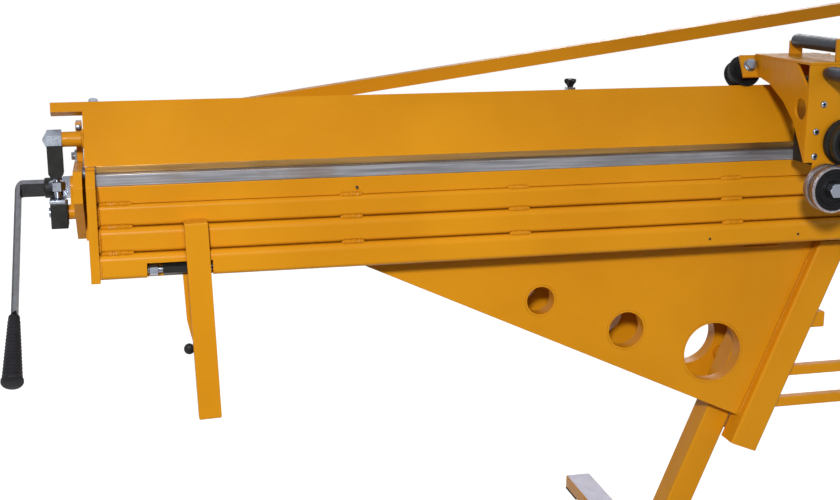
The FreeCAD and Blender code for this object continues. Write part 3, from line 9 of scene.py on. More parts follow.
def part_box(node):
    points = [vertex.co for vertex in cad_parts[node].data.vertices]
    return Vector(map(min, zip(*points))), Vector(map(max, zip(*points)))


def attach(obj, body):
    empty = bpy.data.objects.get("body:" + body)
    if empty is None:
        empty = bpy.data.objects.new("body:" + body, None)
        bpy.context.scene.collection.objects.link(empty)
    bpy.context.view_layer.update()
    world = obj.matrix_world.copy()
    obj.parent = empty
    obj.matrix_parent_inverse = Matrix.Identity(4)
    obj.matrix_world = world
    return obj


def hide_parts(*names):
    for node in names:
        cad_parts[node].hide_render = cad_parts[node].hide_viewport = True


# Dresses the CAD frame of a long folding machine with a roller cutter: finishes, turned and
# moulded pieces, fasteners and weld beads, then the floor, the light and the camera.
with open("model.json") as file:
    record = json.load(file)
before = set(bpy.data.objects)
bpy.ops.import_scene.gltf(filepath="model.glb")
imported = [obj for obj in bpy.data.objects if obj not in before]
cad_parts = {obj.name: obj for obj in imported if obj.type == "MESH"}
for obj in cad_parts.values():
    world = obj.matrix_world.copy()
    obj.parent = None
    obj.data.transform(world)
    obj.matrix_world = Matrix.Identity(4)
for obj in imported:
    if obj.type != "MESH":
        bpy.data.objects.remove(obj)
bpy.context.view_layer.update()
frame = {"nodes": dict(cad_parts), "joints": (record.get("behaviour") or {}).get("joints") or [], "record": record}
NODES = frame["nodes"]
JOINTS = {joint["name"]: joint for joint in frame["joints"]}
SLOT_OF = {part["node"]: part["material_slot"] for part in frame["record"]["subparts"]}
BODY_OF = {node: body for body, nodes in frame["record"]["behaviour"]["bodies"].items()
           for node in nodes}
MM = 0.001
LEFT, RIGHT = -1, 1
X_AXIS, Y_AXIS, Z_AXIS = Vector((1, 0, 0)), Vector((0, 1, 0)), Vector((0, 0, 1))
SAME_POINT = 0.002 * MM
ROD_PITCH = 1.75 * MM

# The crank's levers: their lean, the way down along them and the way across their flat bar
LEVER_LEAN = math.radians(56)
LEVER_WAY = Vector((0, -math.sin(LEVER_LEAN), -math.cos(LEVER_LEAN)))
LEVER_EDGE = Vector((0, -math.cos(LEVER_LEAN), math.sin(LEVER_LEAN)))


# Camera
def make_camera():
    data = bpy.data.cameras.new("photo_camera")
    data.lens, data.sensor_width = 54.6, 36.0
    data.clip_start, data.clip_end = 0.05, 200.0
    camera = bpy.data.objects.new("photo_camera", data)
    camera.location = (-1.5515, -2.2916, 1.2695)
    camera.rotation_euler = (math.radians(76.78), 0.0, math.radians(-13.02))
    bpy.context.scene.collection.objects.link(camera)
    bpy.context.scene.camera = camera


# Materials
# The mix node's sockets share their names, so its colour sockets are taken by number.
MIX_FACTOR, MIX_FIRST, MIX_SECOND, MIX_RESULT = 0, 6, 7, 2


class Net:
    """A material's node tree, with short calls for the nodes that the finishes share."""

    def __init__(self, name):
        self.material = bpy.data.materials.new(name)
        self.material.use_nodes = True
        self.tree = self.material.node_tree
        self.shader = self.tree.nodes["Principled BSDF"]
        self.place = self.add("ShaderNodeTexCoord").outputs["Object"]

    def add(self, kind, **settings):
        node = self.tree.nodes.new(kind)
        for key, value in settings.items():
            setattr(node, key, value)
        return node

    def feed(self, value, socket):
        if isinstance(value, bpy.types.NodeSocket):
            self.tree.links.new(value, socket)
        else:
            socket.default_value = value

    def set(self, socket, value):
        self.feed(value, self.shader.inputs[socket])

    def stretched(self, stretch, centre=(0, 0, 0)):
        """The place on the piece, counted from the centre and scaled along each axis."""
        node = self.add("ShaderNodeMapping")
        self.feed(self.place, node.inputs["Vector"])
        node.inputs["Scale"].default_value = stretch
        node.inputs["Location"].default_value = [-c * s for c, s in zip(centre, stretch)]
        return node.outputs["Vector"]

    def noise(self, scale, detail=2.0, stretch=None):
        node = self.add("ShaderNodeTexNoise")
        self.feed(self.stretched(stretch) if stretch else self.place, node.inputs["Vector"])
        node.inputs["Scale"].default_value = scale
        node.inputs["Detail"].default_value = detail
        return node.outputs["Fac"]

    def ramp(self, value, low, high, start=0.0, end=1.0):
        """Start up to the low value, end from the high one on, and smooth between them."""
        node = self.add("ShaderNodeMapRange", interpolation_type="SMOOTHSTEP")
        self.feed(value, node.inputs["Value"])
        node.inputs["From Min"].default_value = low
        node.inputs["From Max"].default_value = high
        node.inputs["To Min"].default_value = start
        node.inputs["To Max"].default_value = end
        return node.outputs["Result"]

    def mix(self, factor, first, second):
        node = self.add("ShaderNodeMix", data_type="RGBA")
        self.feed(factor, node.inputs[MIX_FACTOR])
        for value, place in ((first, MIX_FIRST), (second, MIX_SECOND)):
            self.feed((*value, 1.0) if isinstance(value, tuple) else value, node.inputs[place])
        return node.outputs[MIX_RESULT]

    def maths(self, operation, first, second=0.0):
        node = self.add("ShaderNodeMath", operation=operation)
        self.feed(first, node.inputs[0])
        self.feed(second, node.inputs[1])
        return node.outputs[0]

    def facing(self, direction):
        """The cosine between the surface and the direction, in the piece's own space."""
        dot = self.add("ShaderNodeVectorMath", operation="DOT_PRODUCT")
        self.feed(self.add("ShaderNodeTexCoord").outputs["Normal"], dot.inputs[0])
        dot.inputs[1].default_value = direction
        return dot.outputs["Value"]

    def edges(self, radius):
        """0 on flat faces to 1 on edges that turn outwards or inwards within the radius."""
        bevel = self.add("ShaderNodeBevel", samples=4)
        bevel.inputs["Radius"].default_value = radius
        dot = self.add("ShaderNodeVectorMath", operation="DOT_PRODUCT")
        self.feed(bevel.outputs["Normal"], dot.inputs[0])
        self.feed(self.add("ShaderNodeNewGeometry").outputs["Normal"], dot.inputs[1])
        return self.maths("SUBTRACT", 1.0, dot.outputs["Value"])

    def corners(self, distance):
        """1 in the open to 0 deep in a corner or a seam."""
        node = self.add("ShaderNodeAmbientOcclusion", samples=6)
        node.inputs["Distance"].default_value = distance
        return node.outputs["AO"]

    def bump(self, height, strength, distance, under=None):
        node = self.add("ShaderNodeBump")
        self.feed(height, node.inputs["Height"])
        node.inputs["Strength"].default_value = strength
        node.inputs["Distance"].default_value = distance
        if under is not None:
            self.feed(under, node.inputs["Normal"])
        return node.outputs["Normal"]


def powder_coat(name, pale, deep, speck_and_seam_shade, painted_glare_top=None):
    """Baked paint: orange-peel skin, thin at the edges, painted shade darkening the seams, maybe a painted glare
    on the top faces.
    """
    net = Net(name)
    cloud = net.ramp(net.noise(3.5, 3.0), 0.35, 0.65)
    colour = net.mix(cloud, deep, pale)
    speck = net.ramp(net.noise(260.0, 2.0), 0.68, 0.76, 0.0, 0.16)
    colour = net.mix(speck, colour, speck_and_seam_shade)
    edge = net.ramp(net.edges(1.6 * MM), 0.05, 0.45)
    worn = net.maths("MULTIPLY", edge, net.ramp(net.noise(55.0, 4.0), 0.45, 0.7, 0.15, 0.75))
    colour = net.mix(worn, colour, tuple(min(1.0, 1.16 * c + 0.015) for c in pale))
    # Painted shade: the paint turns dark brown deep in corners and seams, where an ambient occlusion mask finds
    # them.
    seam = net.ramp(net.corners(9 * MM), 0.25, 0.85, 0.55, 0.0)
    colour = net.mix(seam, colour, speck_and_seam_shade)
    if painted_glare_top:
        # Painted glare: up-facing faces turn pale lavender in patches, standing in for a bright sky mirrored on
        # them.
        glare_patches = net.ramp(net.noise(40.0, 4.0), 0.25, 0.4)
        top = net.maths("MULTIPLY", net.ramp(net.facing(Z_AXIS), 0.9, 0.97), glare_patches)
        colour = net.mix(top, colour, painted_glare_top)
    net.set("Base Color", colour)
    net.set("Roughness", net.ramp(net.noise(38.0, 3.0), 0.3, 0.7, 0.27, 0.4))
    net.set("Specular IOR Level", 0.15)
    peel = net.bump(net.noise(420.0, 1.0), 0.10, 0.4 * MM)
    net.set("Normal", net.bump(net.noise(14.0, 2.0), 0.12, 1.2 * MM, peel))
    return net.material


def plated(name, pale, dull):
    """Zinc plate: bright, a little cloudy, with fine scratches."""
    net = Net(name)
    cloud = net.ramp(net.noise(24.0, 2.0), 0.35, 0.65)
    colour = net.mix(cloud, pale, dull)
    edge = net.ramp(net.edges(0.8 * MM), 0.05, 0.5, 0.0, 0.5)
    colour = net.mix(edge, colour, (0.60, 0.64, 0.72))
    # Painted shade: the zinc turns near black deep in corners and gaps.
    corner_shade = net.ramp(net.corners(4 * MM), 0.2, 0.8, 0.6, 0.0)
    net.set("Base Color", net.mix(corner_shade, colour, (0.08, 0.07, 0.06)))
    net.set("Metallic", 1.0)
    net.set("Roughness", net.ramp(net.noise(300.0, 3.0), 0.3, 0.7, 0.23, 0.4))
    net.set("Normal", net.bump(net.noise(500.0, 2.0), 0.04, 0.1 * MM))
    return net.material


def ground_steel(name, pale, dark, stain, stretch, rough):
    """Ground bar: fine scratches along it, cloudy grey patches and a brown bloom."""
    net = Net(name)
    lines = net.noise(240.0, 4.0, stretch)
    patch = net.noise(26.0, 4.0, (0.35, 1, 1))
    colour = net.mix(net.ramp(lines, 0.3, 0.72), dark, pale)
    colour = net.mix(net.ramp(patch, 0.42, 0.62, 0.0, 0.65), colour, dark)
    bloom = net.ramp(net.noise(9.0, 5.0, (0.5, 1, 1)), 0.5, 0.66, 0.0, 0.6)
    net.set("Base Color", net.mix(bloom, colour, stain))
    net.set("Metallic", 0.85)
    net.set("Roughness", net.ramp(patch, 0.35, 0.65, rough - 0.08, rough + 0.14))
    net.set("Normal", net.bump(lines, 0.25, 0.2 * MM))
    return net.material


def dull_black(name, colour, rough, grain=500.0, depth=0.2, edge_colour=(0.10, 0.10, 0.105),
               gloss=0.2):
    """Satin paint, plastic or rubber: nearly black, with a grain and rubbed edges if asked."""
    net = Net(name)
    cloud = net.ramp(net.noise(30.0, 3.0), 0.35, 0.65)
    base = net.mix(cloud, colour, tuple(1.5 * c + 0.002 for c in colour))
    if edge_colour:
        edge = net.ramp(net.edges(1.0 * MM), 0.08, 0.5)
        rub = net.maths("MULTIPLY", edge, net.ramp(net.noise(80.0, 3.0), 0.4, 0.65, 0.1, 0.8))
        base = net.mix(rub, base, edge_colour)
    net.set("Base Color", base)
    net.set("Roughness", net.ramp(net.noise(60.0, 3.0), 0.3, 0.7, rough - 0.08, rough + 0.1))
    net.set("Specular IOR Level", gloss)
    if depth:
        net.set("Normal", net.bump(net.noise(grain, 2.0), depth, 0.25 * MM))
    return net.material


def flat_bar(name):
    """Hot-rolled bar for the levers: painted shade on the wide faces, a painted highlight on the narrow edges."""
    net = Net(name)
    # Painted light: faces square to the bar's narrow edges get light grey as lit edges, the wide faces near black
    # as faces in shade.
    side = net.ramp(net.maths("ABSOLUTE", net.facing(LEVER_EDGE)), 0.6, 0.75)
    cloud = net.ramp(net.noise(45.0, 4.0), 0.35, 0.65)
    # Here scale holds the painted shade of the wide faces, and cut holds the painted highlight of the narrow
    # edges.
    scale = net.mix(cloud, (0.016, 0.016, 0.018), (0.030, 0.030, 0.033))
    cut = net.mix(net.ramp(net.noise(70.0, 4.0), 0.3, 0.7), (0.17, 0.17, 0.187),
                  (0.24, 0.24, 0.262))
    net.set("Base Color", net.mix(side, scale, cut))
    net.set("Metallic", net.maths("MULTIPLY", side, 0.55))
    net.set("Roughness", net.ramp(net.noise(120.0, 3.0), 0.3, 0.7, 0.36, 0.52))
    net.set("Specular IOR Level", 0.3)
    net.set("Normal", net.bump(net.noise(350.0, 3.0), 0.15, 0.2 * MM))
    return net.material


def turned_steel(name, centre, pitch, pale, dark, rough, metallic):
    """A turned face: rings about the roller's axis, which lies along Y."""
    net = Net(name)
    across = net.add("ShaderNodeVectorMath", operation="LENGTH")
    net.feed(net.stretched((1, 0, 1), (centre[0], 0, centre[1])), across.inputs[0])
    radius = across.outputs["Value"]
    wobble = net.maths("MULTIPLY", net.noise(60.0, 2.0), 0.6 * MM)
    turns = net.maths("MULTIPLY", net.maths("ADD", radius, wobble), 2 * math.pi / pitch)
    rings = net.maths("SINE", turns)
    colour = net.mix(net.ramp(rings, -0.6, 0.9), dark, pale)
    blotch = net.ramp(net.noise(70.0, 4.0), 0.45, 0.7, 0.0, 0.5)
    net.set("Base Color", net.mix(blotch, colour, dark))
    net.set("Metallic", metallic)
    net.set("Specular IOR Level", 0.15)
    net.set("Roughness", net.ramp(net.noise(150.0, 3.0), 0.3, 0.7, rough - 0.06, rough + 0.12))
    net.set("Normal", net.bump(rings, 0.3, 0.15 * MM))
    return net.material


def make_materials():
    """Every finish under its own name: which kind it is, and its settings."""
    upper = [JOINTS["upper_cutter_spin"]["pos_m"][i] for i in (0, 2)]
    lower = [JOINTS["lower_cutter_spin"]["pos_m"][i] for i in (0, 2)]
    yellow = {"pale": (0.77, 0.315, 0.008), "deep": (0.70, 0.275, 0.006),
              "speck_and_seam_shade": (0.16, 0.06, 0.008)}
    along = (0.03, 1, 1)
    finishes = {
        "yellow_powder_coat": (powder_coat, yellow),
        "worn_foot": (powder_coat, dict(yellow, painted_glare_top=(0.70, 0.69, 0.84))),
        "black_paint": (dull_black, dict(colour=(0.012, 0.012, 0.011), rough=0.42)),
        "zinc_plate": (plated, dict(pale=(0.36, 0.39, 0.45), dull=(0.26, 0.28, 0.33))),
        "bare_steel": (ground_steel, dict(
            pale=(0.35, 0.35, 0.38), dark=(0.18, 0.18, 0.19), stain=(0.19, 0.12, 0.07),
            stretch=along, rough=0.42)),
        "dark_steel": (ground_steel, dict(
            pale=(0.38, 0.22, 0.07), dark=(0.28, 0.15, 0.045), stain=(0.20, 0.11, 0.03),
            stretch=along, rough=0.36)),
        "black_rubber": (dull_black, dict(
            colour=(0.007, 0.007, 0.009), rough=0.5, grain=380.0, depth=0.35,
            edge_colour=(0.025, 0.025, 0.03))),
        "black_plastic": (dull_black, dict(
            colour=(0.010, 0.010, 0.011), rough=0.38, grain=260.0, depth=0.12,
            edge_colour=(0.04, 0.04, 0.045))),
        "glossy_grip": (dull_black, dict(
            colour=(0.014, 0.018, 0.032), rough=0.38, depth=0.0, edge_colour=None, gloss=0.4)),
        "cutter_steel": (ground_steel, dict(
            pale=(0.52, 0.47, 0.49), dark=(0.20, 0.18, 0.185), stain=(0.24, 0.19, 0.14),
            stretch=(1, 1, 1), rough=0.3)),
        "lever_bar": (flat_bar, {}),
        "lower_face": (turned_steel, dict(
            centre=lower, pitch=3.6 * MM, pale=(0.014, 0.014, 0.016),
            dark=(0.002, 0.002, 0.003), rough=0.36, metallic=0.1)),
        "upper_face": (turned_steel, dict(
            centre=upper, pitch=4.2 * MM, pale=(0.007, 0.007, 0.008),
            dark=(0.001, 0.001, 0.001), rough=0.4, metallic=0.0)),
    }
    return {name: make(name, **settings) for name, (make, settings) in finishes.items()}


# Mesh helpers
SOFT_UNDER = math.radians(35)


def finish_piece(name, mesh_maker, node, body=None, materials=None, smooth=True, replace=True):
    """Turns a bmesh into a piece that rides with the node's body and has its finish."""
    mesh = bpy.data.meshes.new(name)
    bmesh.ops.recalc_face_normals(mesh_maker, faces=mesh_maker.faces)
    mesh_maker.to_mesh(mesh)
    mesh_maker.free()
    for finish in materials or [SLOT_OF[node]]:
        mesh.materials.append(FINISH[finish])
    if smooth:
        mesh.shade_smooth()
        mesh.set_sharp_from_angle(angle=SOFT_UNDER)
    piece = bpy.data.objects.new(name, mesh)
    bpy.context.scene.collection.objects.link(piece)
    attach(piece, body or BODY_OF[node])
    if replace:
        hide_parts(node)
    return piece


def facing(axis):
    """The turn that takes +Z onto the axis."""
    return Vector(axis).to_track_quat("Z", "Y").to_matrix().to_4x4()


def skin(target, rings, place, closed_ends=True, finish=0):
    """Joins rings of points, each as long as the next, into one skin, with its ends closed."""
    made = [[target.verts.new(place @ Vector(point)) for point in ring] for ring in rings]
    count = len(made[0])
    faces = []
    for ring, following in zip(made, made[1:]):
        for i in range(count):
            j = (i + 1) % count
            faces.append(target.faces.new((ring[i], ring[j], following[j], following[i])))
    if closed_ends:
        faces.append(target.faces.new(made[0][::-1]))
        faces.append(target.faces.new(made[-1]))
    for face in faces:
        face.material_index = finish
    return faces


def at(x, y, z):
    """A point given in millimetres."""
    return Vector((x * MM, y * MM, z * MM))


def rear_middle(low, high):
    """The middle of a box's rear face, where pieces that point to the front start."""
    return Vector(((low.x + high.x) / 2, high.y, (low.z + high.z) / 2))


def outward_start(low, high):
    """The middle of a box's face towards the machine's middle, and the way out from it."""
    centre = (low + high) / 2
    outward = LEFT if centre.x < 0 else RIGHT
    return Vector((low.x if outward > 0 else high.x, centre.y, centre.z)), X_AXIS * outward


def circle(radius, height, count):
    return [(radius * math.cos(2 * math.pi * i / count), radius * math.sin(2 * math.pi * i / count),
             height) for i in range(count)]


def turned(target, profile, start, axis, count=48, finish=0):
    """A turned piece: the profile is (radius, distance along the axis) from its start."""
    place = Matrix.Translation(Vector(start)) @ facing(axis)
    rings = [circle(max(radius, 0.02 * MM), along, count) for radius, along in profile]
    return skin(target, rings, place, True, finish)


def hexagon_reach(apothem, angle, turn=0.0):
    """How far a hexagon's outline lies from its centre at the angle."""
    inside = (angle - turn + math.pi / 6) % (math.pi / 3) - math.pi / 6
    return apothem / math.cos(math.pi / 6 - abs(inside))


def hexagon_nut(target, start, axis, flats, height, corner_up=True, finish=0):
    """A hexagon nut or bolt head with its corners turned off at the far end."""
    apothem = flats / 2
    rim = 0.95 * apothem
    count = 72
    turn = 0.0 if corner_up else math.pi / 6

    def outline(height_of, limit=None):
        ring = []
        for i in range(count):
            angle = 2 * math.pi * i / count
            corner = hexagon_reach(apothem, angle, turn)
            reach = corner if limit is None else limit
            ring.append((reach * math.cos(angle), reach * math.sin(angle), height_of(corner)))
        return ring

    slope = math.tan(math.radians(30))
    rings = [outline(lambda r: 0.0), outline(lambda r: height - (r - rim) * slope),
             outline(lambda r: height, rim)]
    place = Matrix.Translation(Vector(start)) @ facing(axis)
    return skin(target, rings, place, True, finish)


def threaded(target, start, axis, radius, length, pitch):
    """A stud with a real helical thread and chamfered ends."""
    count, rings_per_turn, narrowed = 24, 4, 0.86
    depth = 0.11 * pitch + 0.25 * MM
    chamfer = 0.8 * pitch
    steps = max(8, int(rings_per_turn * length / pitch))
    rings = []
    for step in range(steps + 1):
        along = length * step / steps
        end = min(along, length - along)
        room = min(1.0, end / chamfer)
        ring = []
        for i in range(count):
            turn = i / count
            wave = abs((along / pitch - turn) % 1.0 - 0.5) * 2
            reach = (radius - depth * (1 - wave)) * (narrowed + (1 - narrowed) * room)
            angle = 2 * math.pi * turn
            ring.append((reach * math.cos(angle), reach * math.sin(angle), along))
        rings.append(ring)
    place = Matrix.Translation(Vector(start)) @ facing(axis)
    return skin(target, rings, place)


def bead(target, points, radius, ripple=2.6 * MM):
    """A weld bead: overlapping ripples along a line of points, drawn in at both ends."""
    count, swing, slow_swing, slow_ripple = 10, 0.13, 0.08, 5.3 * ripple
    run_in, thinnest = 1.6 * radius, 0.04
    points = [Vector(point) for point in points]
    lengths = [(b - a).length for a, b in zip(points, points[1:])]
    total = sum(lengths)
    steps = max(6, int(3 * total / ripple))
    rings = []
    for step in range(steps + 1):
        along = total * step / steps
        rest, leg = along, 0
        while leg < len(lengths) - 1 and rest > lengths[leg]:
            rest -= lengths[leg]
            leg += 1
        way = (points[leg + 1] - points[leg]).normalized()
        centre = points[leg] + way * rest
        side = way.cross(Z_AXIS if abs(way.z) < 0.9 else Y_AXIS).normalized()
        up = side.cross(way)
        end = min(1.0, min(along, total - along) / run_in)
        swell = 1 + swing * math.sin(2 * math.pi * along / ripple)
        # Each bead starts at its own place in the slow ripple, so no two look the same.
        swell += slow_swing * math.sin(2 * math.pi * along / slow_ripple + 7 * points[0].x)
        reach = radius * swell * math.sqrt(max(thinnest, 1 - (1 - end) ** 2))
        rings.append([centre + side * reach * math.cos(a) + up * reach * math.sin(a)
                      for a in (2 * math.pi * i / count for i in range(count))])
    return skin(target, rings, Matrix())


def solids(node):
    """The node's separate solids as (low corner, high corner), left to right, up, then back."""
    whole = bmesh.new()
    whole.from_mesh(NODES[node].data)
    bmesh.ops.remove_doubles(whole, verts=whole.verts, dist=SAME_POINT)
    unseen, found = set(whole.verts), []
    while unseen:
        waiting = [unseen.pop()]
        members = list(waiting)
        while waiting:
            vert = waiting.pop()
            for link in vert.link_edges:
                other = link.other_vert(vert)
                if other in unseen:
                    unseen.remove(other)
                    waiting.append(other)
                    members.append(other)
        low = Vector([min(v.co[i] for v in members) for i in range(3)])
        high = Vector([max(v.co[i] for v in members) for i in range(3)])
        found.append((low, high))
    whole.free()
    return sorted(found, key=lambda box: [round(box[0][i], 4) for i in (0, 2, 1)])


# CAD nodes that keep their shape: how far their edges are broken, in millimetres
EDGES = {
    "base_beam": 3.0, "base_end_plates": 1.2, "base_tool_bar": 0.6, "guide_posts": 1.0,
    "guide_strips": 0.6, "columns": 0.8, "gusset_plates": 1.0, "gusset_collars": 0.8,
    "legs": 0.8, "leg_spacers": 0.8, "foot_bars": 3.5, "foot_pads": 1.0, "cross_bars": 2.2,
    "nose_bar": 0.8, "clamp_top_bar": 0.3, "clamp_bottom_plate": 1.2, "clamp_rear_plate": 1.6,
    "clamp_end_plates": 1.0, "clamp_arms": 1.2, "yoke_blocks": 1.4,
    "truss": 2.2, "crank_webs": 1.4, "crank_pins": 0.8, "crank_levers": 0.8,
    "apron_strip": 0.7, "apron_plate_a": 1.4, "apron_plate_b": 1.2, "apron_plate_c": 1.2,
    "apron_plate_d": 1.2, "apron_end_plates": 1.4, "apron_handles": 2.4, "handle_backings": 1.0,
    "carriage_sides": 0.9, "carriage_front_plate": 0.9, "axle_block": 1.2, "guide_shoe": 1.0,
    "wheel_plate": 0.9, "carriage_roof": 0.9, "carriage_axles": 0.6, "knob_posts": 0.6,
}
SHARP_ANGLE = math.radians(32)
OWN_FINISH = {"crank_levers": "lever_bar", "foot_bars": "worn_foot"}


def round_edges(node, width):
    """Breaks the sharp edges of a CAD node, as its plates and bars have them."""
    piece = NODES[node]
    weld = piece.modifiers.new("join_faces", "WELD")
    weld.merge_threshold = SAME_POINT
    bevel = piece.modifiers.new("broken_edges", "BEVEL")
    bevel.width = width
    bevel.segments = 3
    bevel.limit_method = "ANGLE"
    bevel.angle_limit = SHARP_ANGLE
    bevel.use_clamp_overlap = True
    shade = piece.modifiers.new("even_shading", "WEIGHTED_NORMAL")
    shade.keep_sharp = True
    shade.weight = 80


def dress_nodes():
    for node, piece in NODES.items():
        finish = OWN_FINISH.get(node, SLOT_OF[node])
        piece.data.materials.clear()
        piece.data.materials.append(FINISH[finish])
        if node in EDGES:
            round_edges(node, EDGES[node] * MM)


# Lever grips, knobs and hand grips
def make_lever_grips():
    """Ribbed rubber on a taper, with a domed flange at the end of each lever."""
    grips = bmesh.new()
    length, neck, wide, flange = 126 * MM, 9 * MM, 15.5 * MM, 17.5 * MM
    lever_x, grip_from = 1742, 292
    ribs, first, plain_end = 16, 9 * MM, 3 * MM
    pitch = (length - first - plain_end) / ribs
    profile = [(neck - 1 * MM, 0.0), (neck, 1.2 * MM), (neck + 0.4 * MM, 7 * MM)]
    for rib in range(ribs):
        start = first + rib * pitch
        for share, rise in ((0.0, -0.9), (0.14, -0.9), (0.24, 0.0), (0.5, 0.55), (0.76, 0.0),
                            (0.86, -0.9)):
            along = start + share * pitch
            reach = neck + (wide - neck) * along / length
            profile.append((reach + rise * MM, along))
    profile += [(flange - 1.6 * MM, length), (flange, length + 2 * MM),
                (flange, length + 5 * MM), (flange - 1.2 * MM, length + 7.2 * MM),
                (flange * 0.72, length + 9 * MM), (flange * 0.38, length + 9.8 * MM),
                (0.5 * MM, length + 10 * MM)]
    low, high = solids("crank_shaft")[0]
    centre = (low + high) / 2
    for side in (LEFT, RIGHT):
        start = Vector((side * lever_x * MM, centre.y, centre.z)) + LEVER_WAY * grip_from * MM
        turned(grips, profile, start, LEVER_WAY, 40)
    finish_piece("ribbed_lever_grips", grips, "lever_grips")


def make_star_knobs():
    """Small moulded star knobs: a cone that flares into six soft lobes round a deep dish."""
    for word in ("left", "right"):
        node = f"star_knob_{word}"
        low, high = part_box(node)
        centre = (low + high) / 2
        reach = (high.x - low.x) / 2
        tall = high.z - low.z
        # Share of the reach, share of the height, and how deep the lobes are cut
        rows = ((0.45, 0.0, 0.0), (0.48, 0.05, 0.0), (0.56, 0.2, 0.05), (0.70, 0.36, 0.4),
                (0.88, 0.5, 0.9), (0.96, 0.58, 1.0), (1.0, 0.70, 1.0), (1.0, 0.86, 1.0),
                (0.97, 0.95, 1.0), (0.91, 1.0, 0.95), (0.80, 0.99, 0.7), (0.66, 0.88, 0.3),
                (0.58, 0.80, 0.1), (0.40, 0.76, 0.0), (0.36, 0.86, 0.0), (0.02, 0.86, 0.0))
        count, lobes, cut = 72, 6, 0.11
        rings = []
        for share, height, lobed in rows:
            ring = []
            for i in range(count):
                angle = 2 * math.pi * i / count
                dip = cut * lobed * (1 - math.cos(lobes * angle))
                radius = reach * share * (1 - dip)
                ring.append((radius * math.cos(angle), radius * math.sin(angle), height * tall))
            rings.append(ring)
        knob = bmesh.new()
        skin(knob, rings, Matrix.Translation((centre.x, centre.y, low.z)))
        finish_piece(f"moulded_star_{word}", knob, node)


def make_handle_knobs():
    """Round-headed knobs of the apron handles' pins."""
    knobs = bmesh.new()
    for low, high in solids("handle_knobs"):
        radius, depth = (high.x - low.x) / 2, high.y - low.y
        profile = [(reach * radius, along * depth) for reach, along in
                   ((0.62, 0), (0.66, 0.08), (0.92, 0.16), (1, 0.28), (1, 0.62), (0.93, 0.78),
                    (0.74, 0.91), (0.4, 0.985), (0.05, 1))]
        turned(knobs, profile, rear_middle(low, high), -Y_AXIS, 36)
    finish_piece("turned_handle_knobs", knobs, "handle_knobs")


def make_carriage_grips():
    """A straight grip between the roof's brackets, and one that stands out in front."""
    grips = bmesh.new()
    front, top = sorted(solids("carriage_grips"), key=lambda box: box[0].z)
    for (low, high), is_top in ((front, False), (top, True)):
        radius, length = (high.x - low.x) / 2, high.y - low.y
        if is_top:
            profile = [(radius - 1.2 * MM, 0), (radius - 0.2 * MM, 1.0 * MM), (radius, 2.4 * MM)]
            profile += [(radius, length * i / 8) for i in range(1, 8)]
            profile += [(radius, length - 2.4 * MM), (radius - 0.2 * MM, length - 1.0 * MM),
                        (radius - 1.2 * MM, length)]
        else:
            profile = [(0.7 * radius, 0), (0.74 * radius, 2 * MM), (0.8 * radius, 5 * MM),
                       (0.93 * radius, 11 * MM), (radius, 20 * MM)]
            profile += [(radius, length * i / 8) for i in range(2, 8)]
            profile += [(radius, length - 6 * MM), (0.97 * radius, length - 3 * MM),
                        (0.86 * radius, length - 1 * MM), (0.6 * radius, length)]
        turned(grips, profile, rear_middle(low, high), -Y_AXIS)
    finish_piece("moulded_carriage_grips", grips, "carriage_grips", materials=["glossy_grip"])


# Rollers of the carriage
def make_cutters():
    """Two rims, bright on the lower cutter, a groove between, and a dished black front face."""
    rim_finish, face_finish, black = 0, 1, 2
    for word in ("lower", "upper"):
        node = f"{word}_cutter"
        low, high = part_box(node)
        radius = (high.x - low.x) / 2
        width = high.y - low.y
        disc, groove, bore = 14 * MM, 4 * MM, 8.5 * MM
        start = rear_middle(low, high)
        roller = bmesh.new()
        profile = [(bore, 0), (radius - 5 * MM, 0), (radius - 1.4 * MM, 0),
                   (radius, 1.6 * MM), (radius, disc - 1.2 * MM), (radius - 0.8 * MM, disc),
                   (radius - groove, disc + 0.8 * MM), (radius - groove, width - disc - 0.8 * MM),
                   (radius - 0.8 * MM, width - disc), (radius, width - disc + 1.2 * MM),
                   (radius, width - 2.4 * MM), (radius - 2.2 * MM, width),
                   (radius - 4.2 * MM, width), (radius - 5 * MM, width - 1.6 * MM),
                   (radius - 13 * MM, width - 2.2 * MM), (radius - 14 * MM, width - 0.8 * MM),
                   (radius - 18 * MM, width - 0.8 * MM), (radius - 19 * MM, width - 2.2 * MM),
                   (bore + 8 * MM, width - 2.2 * MM), (bore + 7 * MM, width - 0.2 * MM),
                   (bore, width - 0.2 * MM), (bore, width / 2)]
        faces = turned(roller, profile, start, -Y_AXIS, 96)
        # The last two faces close the bore and stay out of sight.
        for face in faces[:-2]:
            centre = face.calc_center_median()
            reach = math.hypot(centre.x - start.x, centre.z - start.z)
            in_face = reach < radius - 4.5 * MM and centre.y < start.y - width / 2
            in_groove = reach < radius - groove + 0.6 * MM
            if in_face:
                face.material_index = face_finish
            elif in_groove or word == "upper":
                face.material_index = black
            else:
                face.material_index = rim_finish
        finishes = ["cutter_steel", f"{word}_face", "black_paint"]
        finish_piece(f"turned_{word}_cutter", roller, node, materials=finishes)


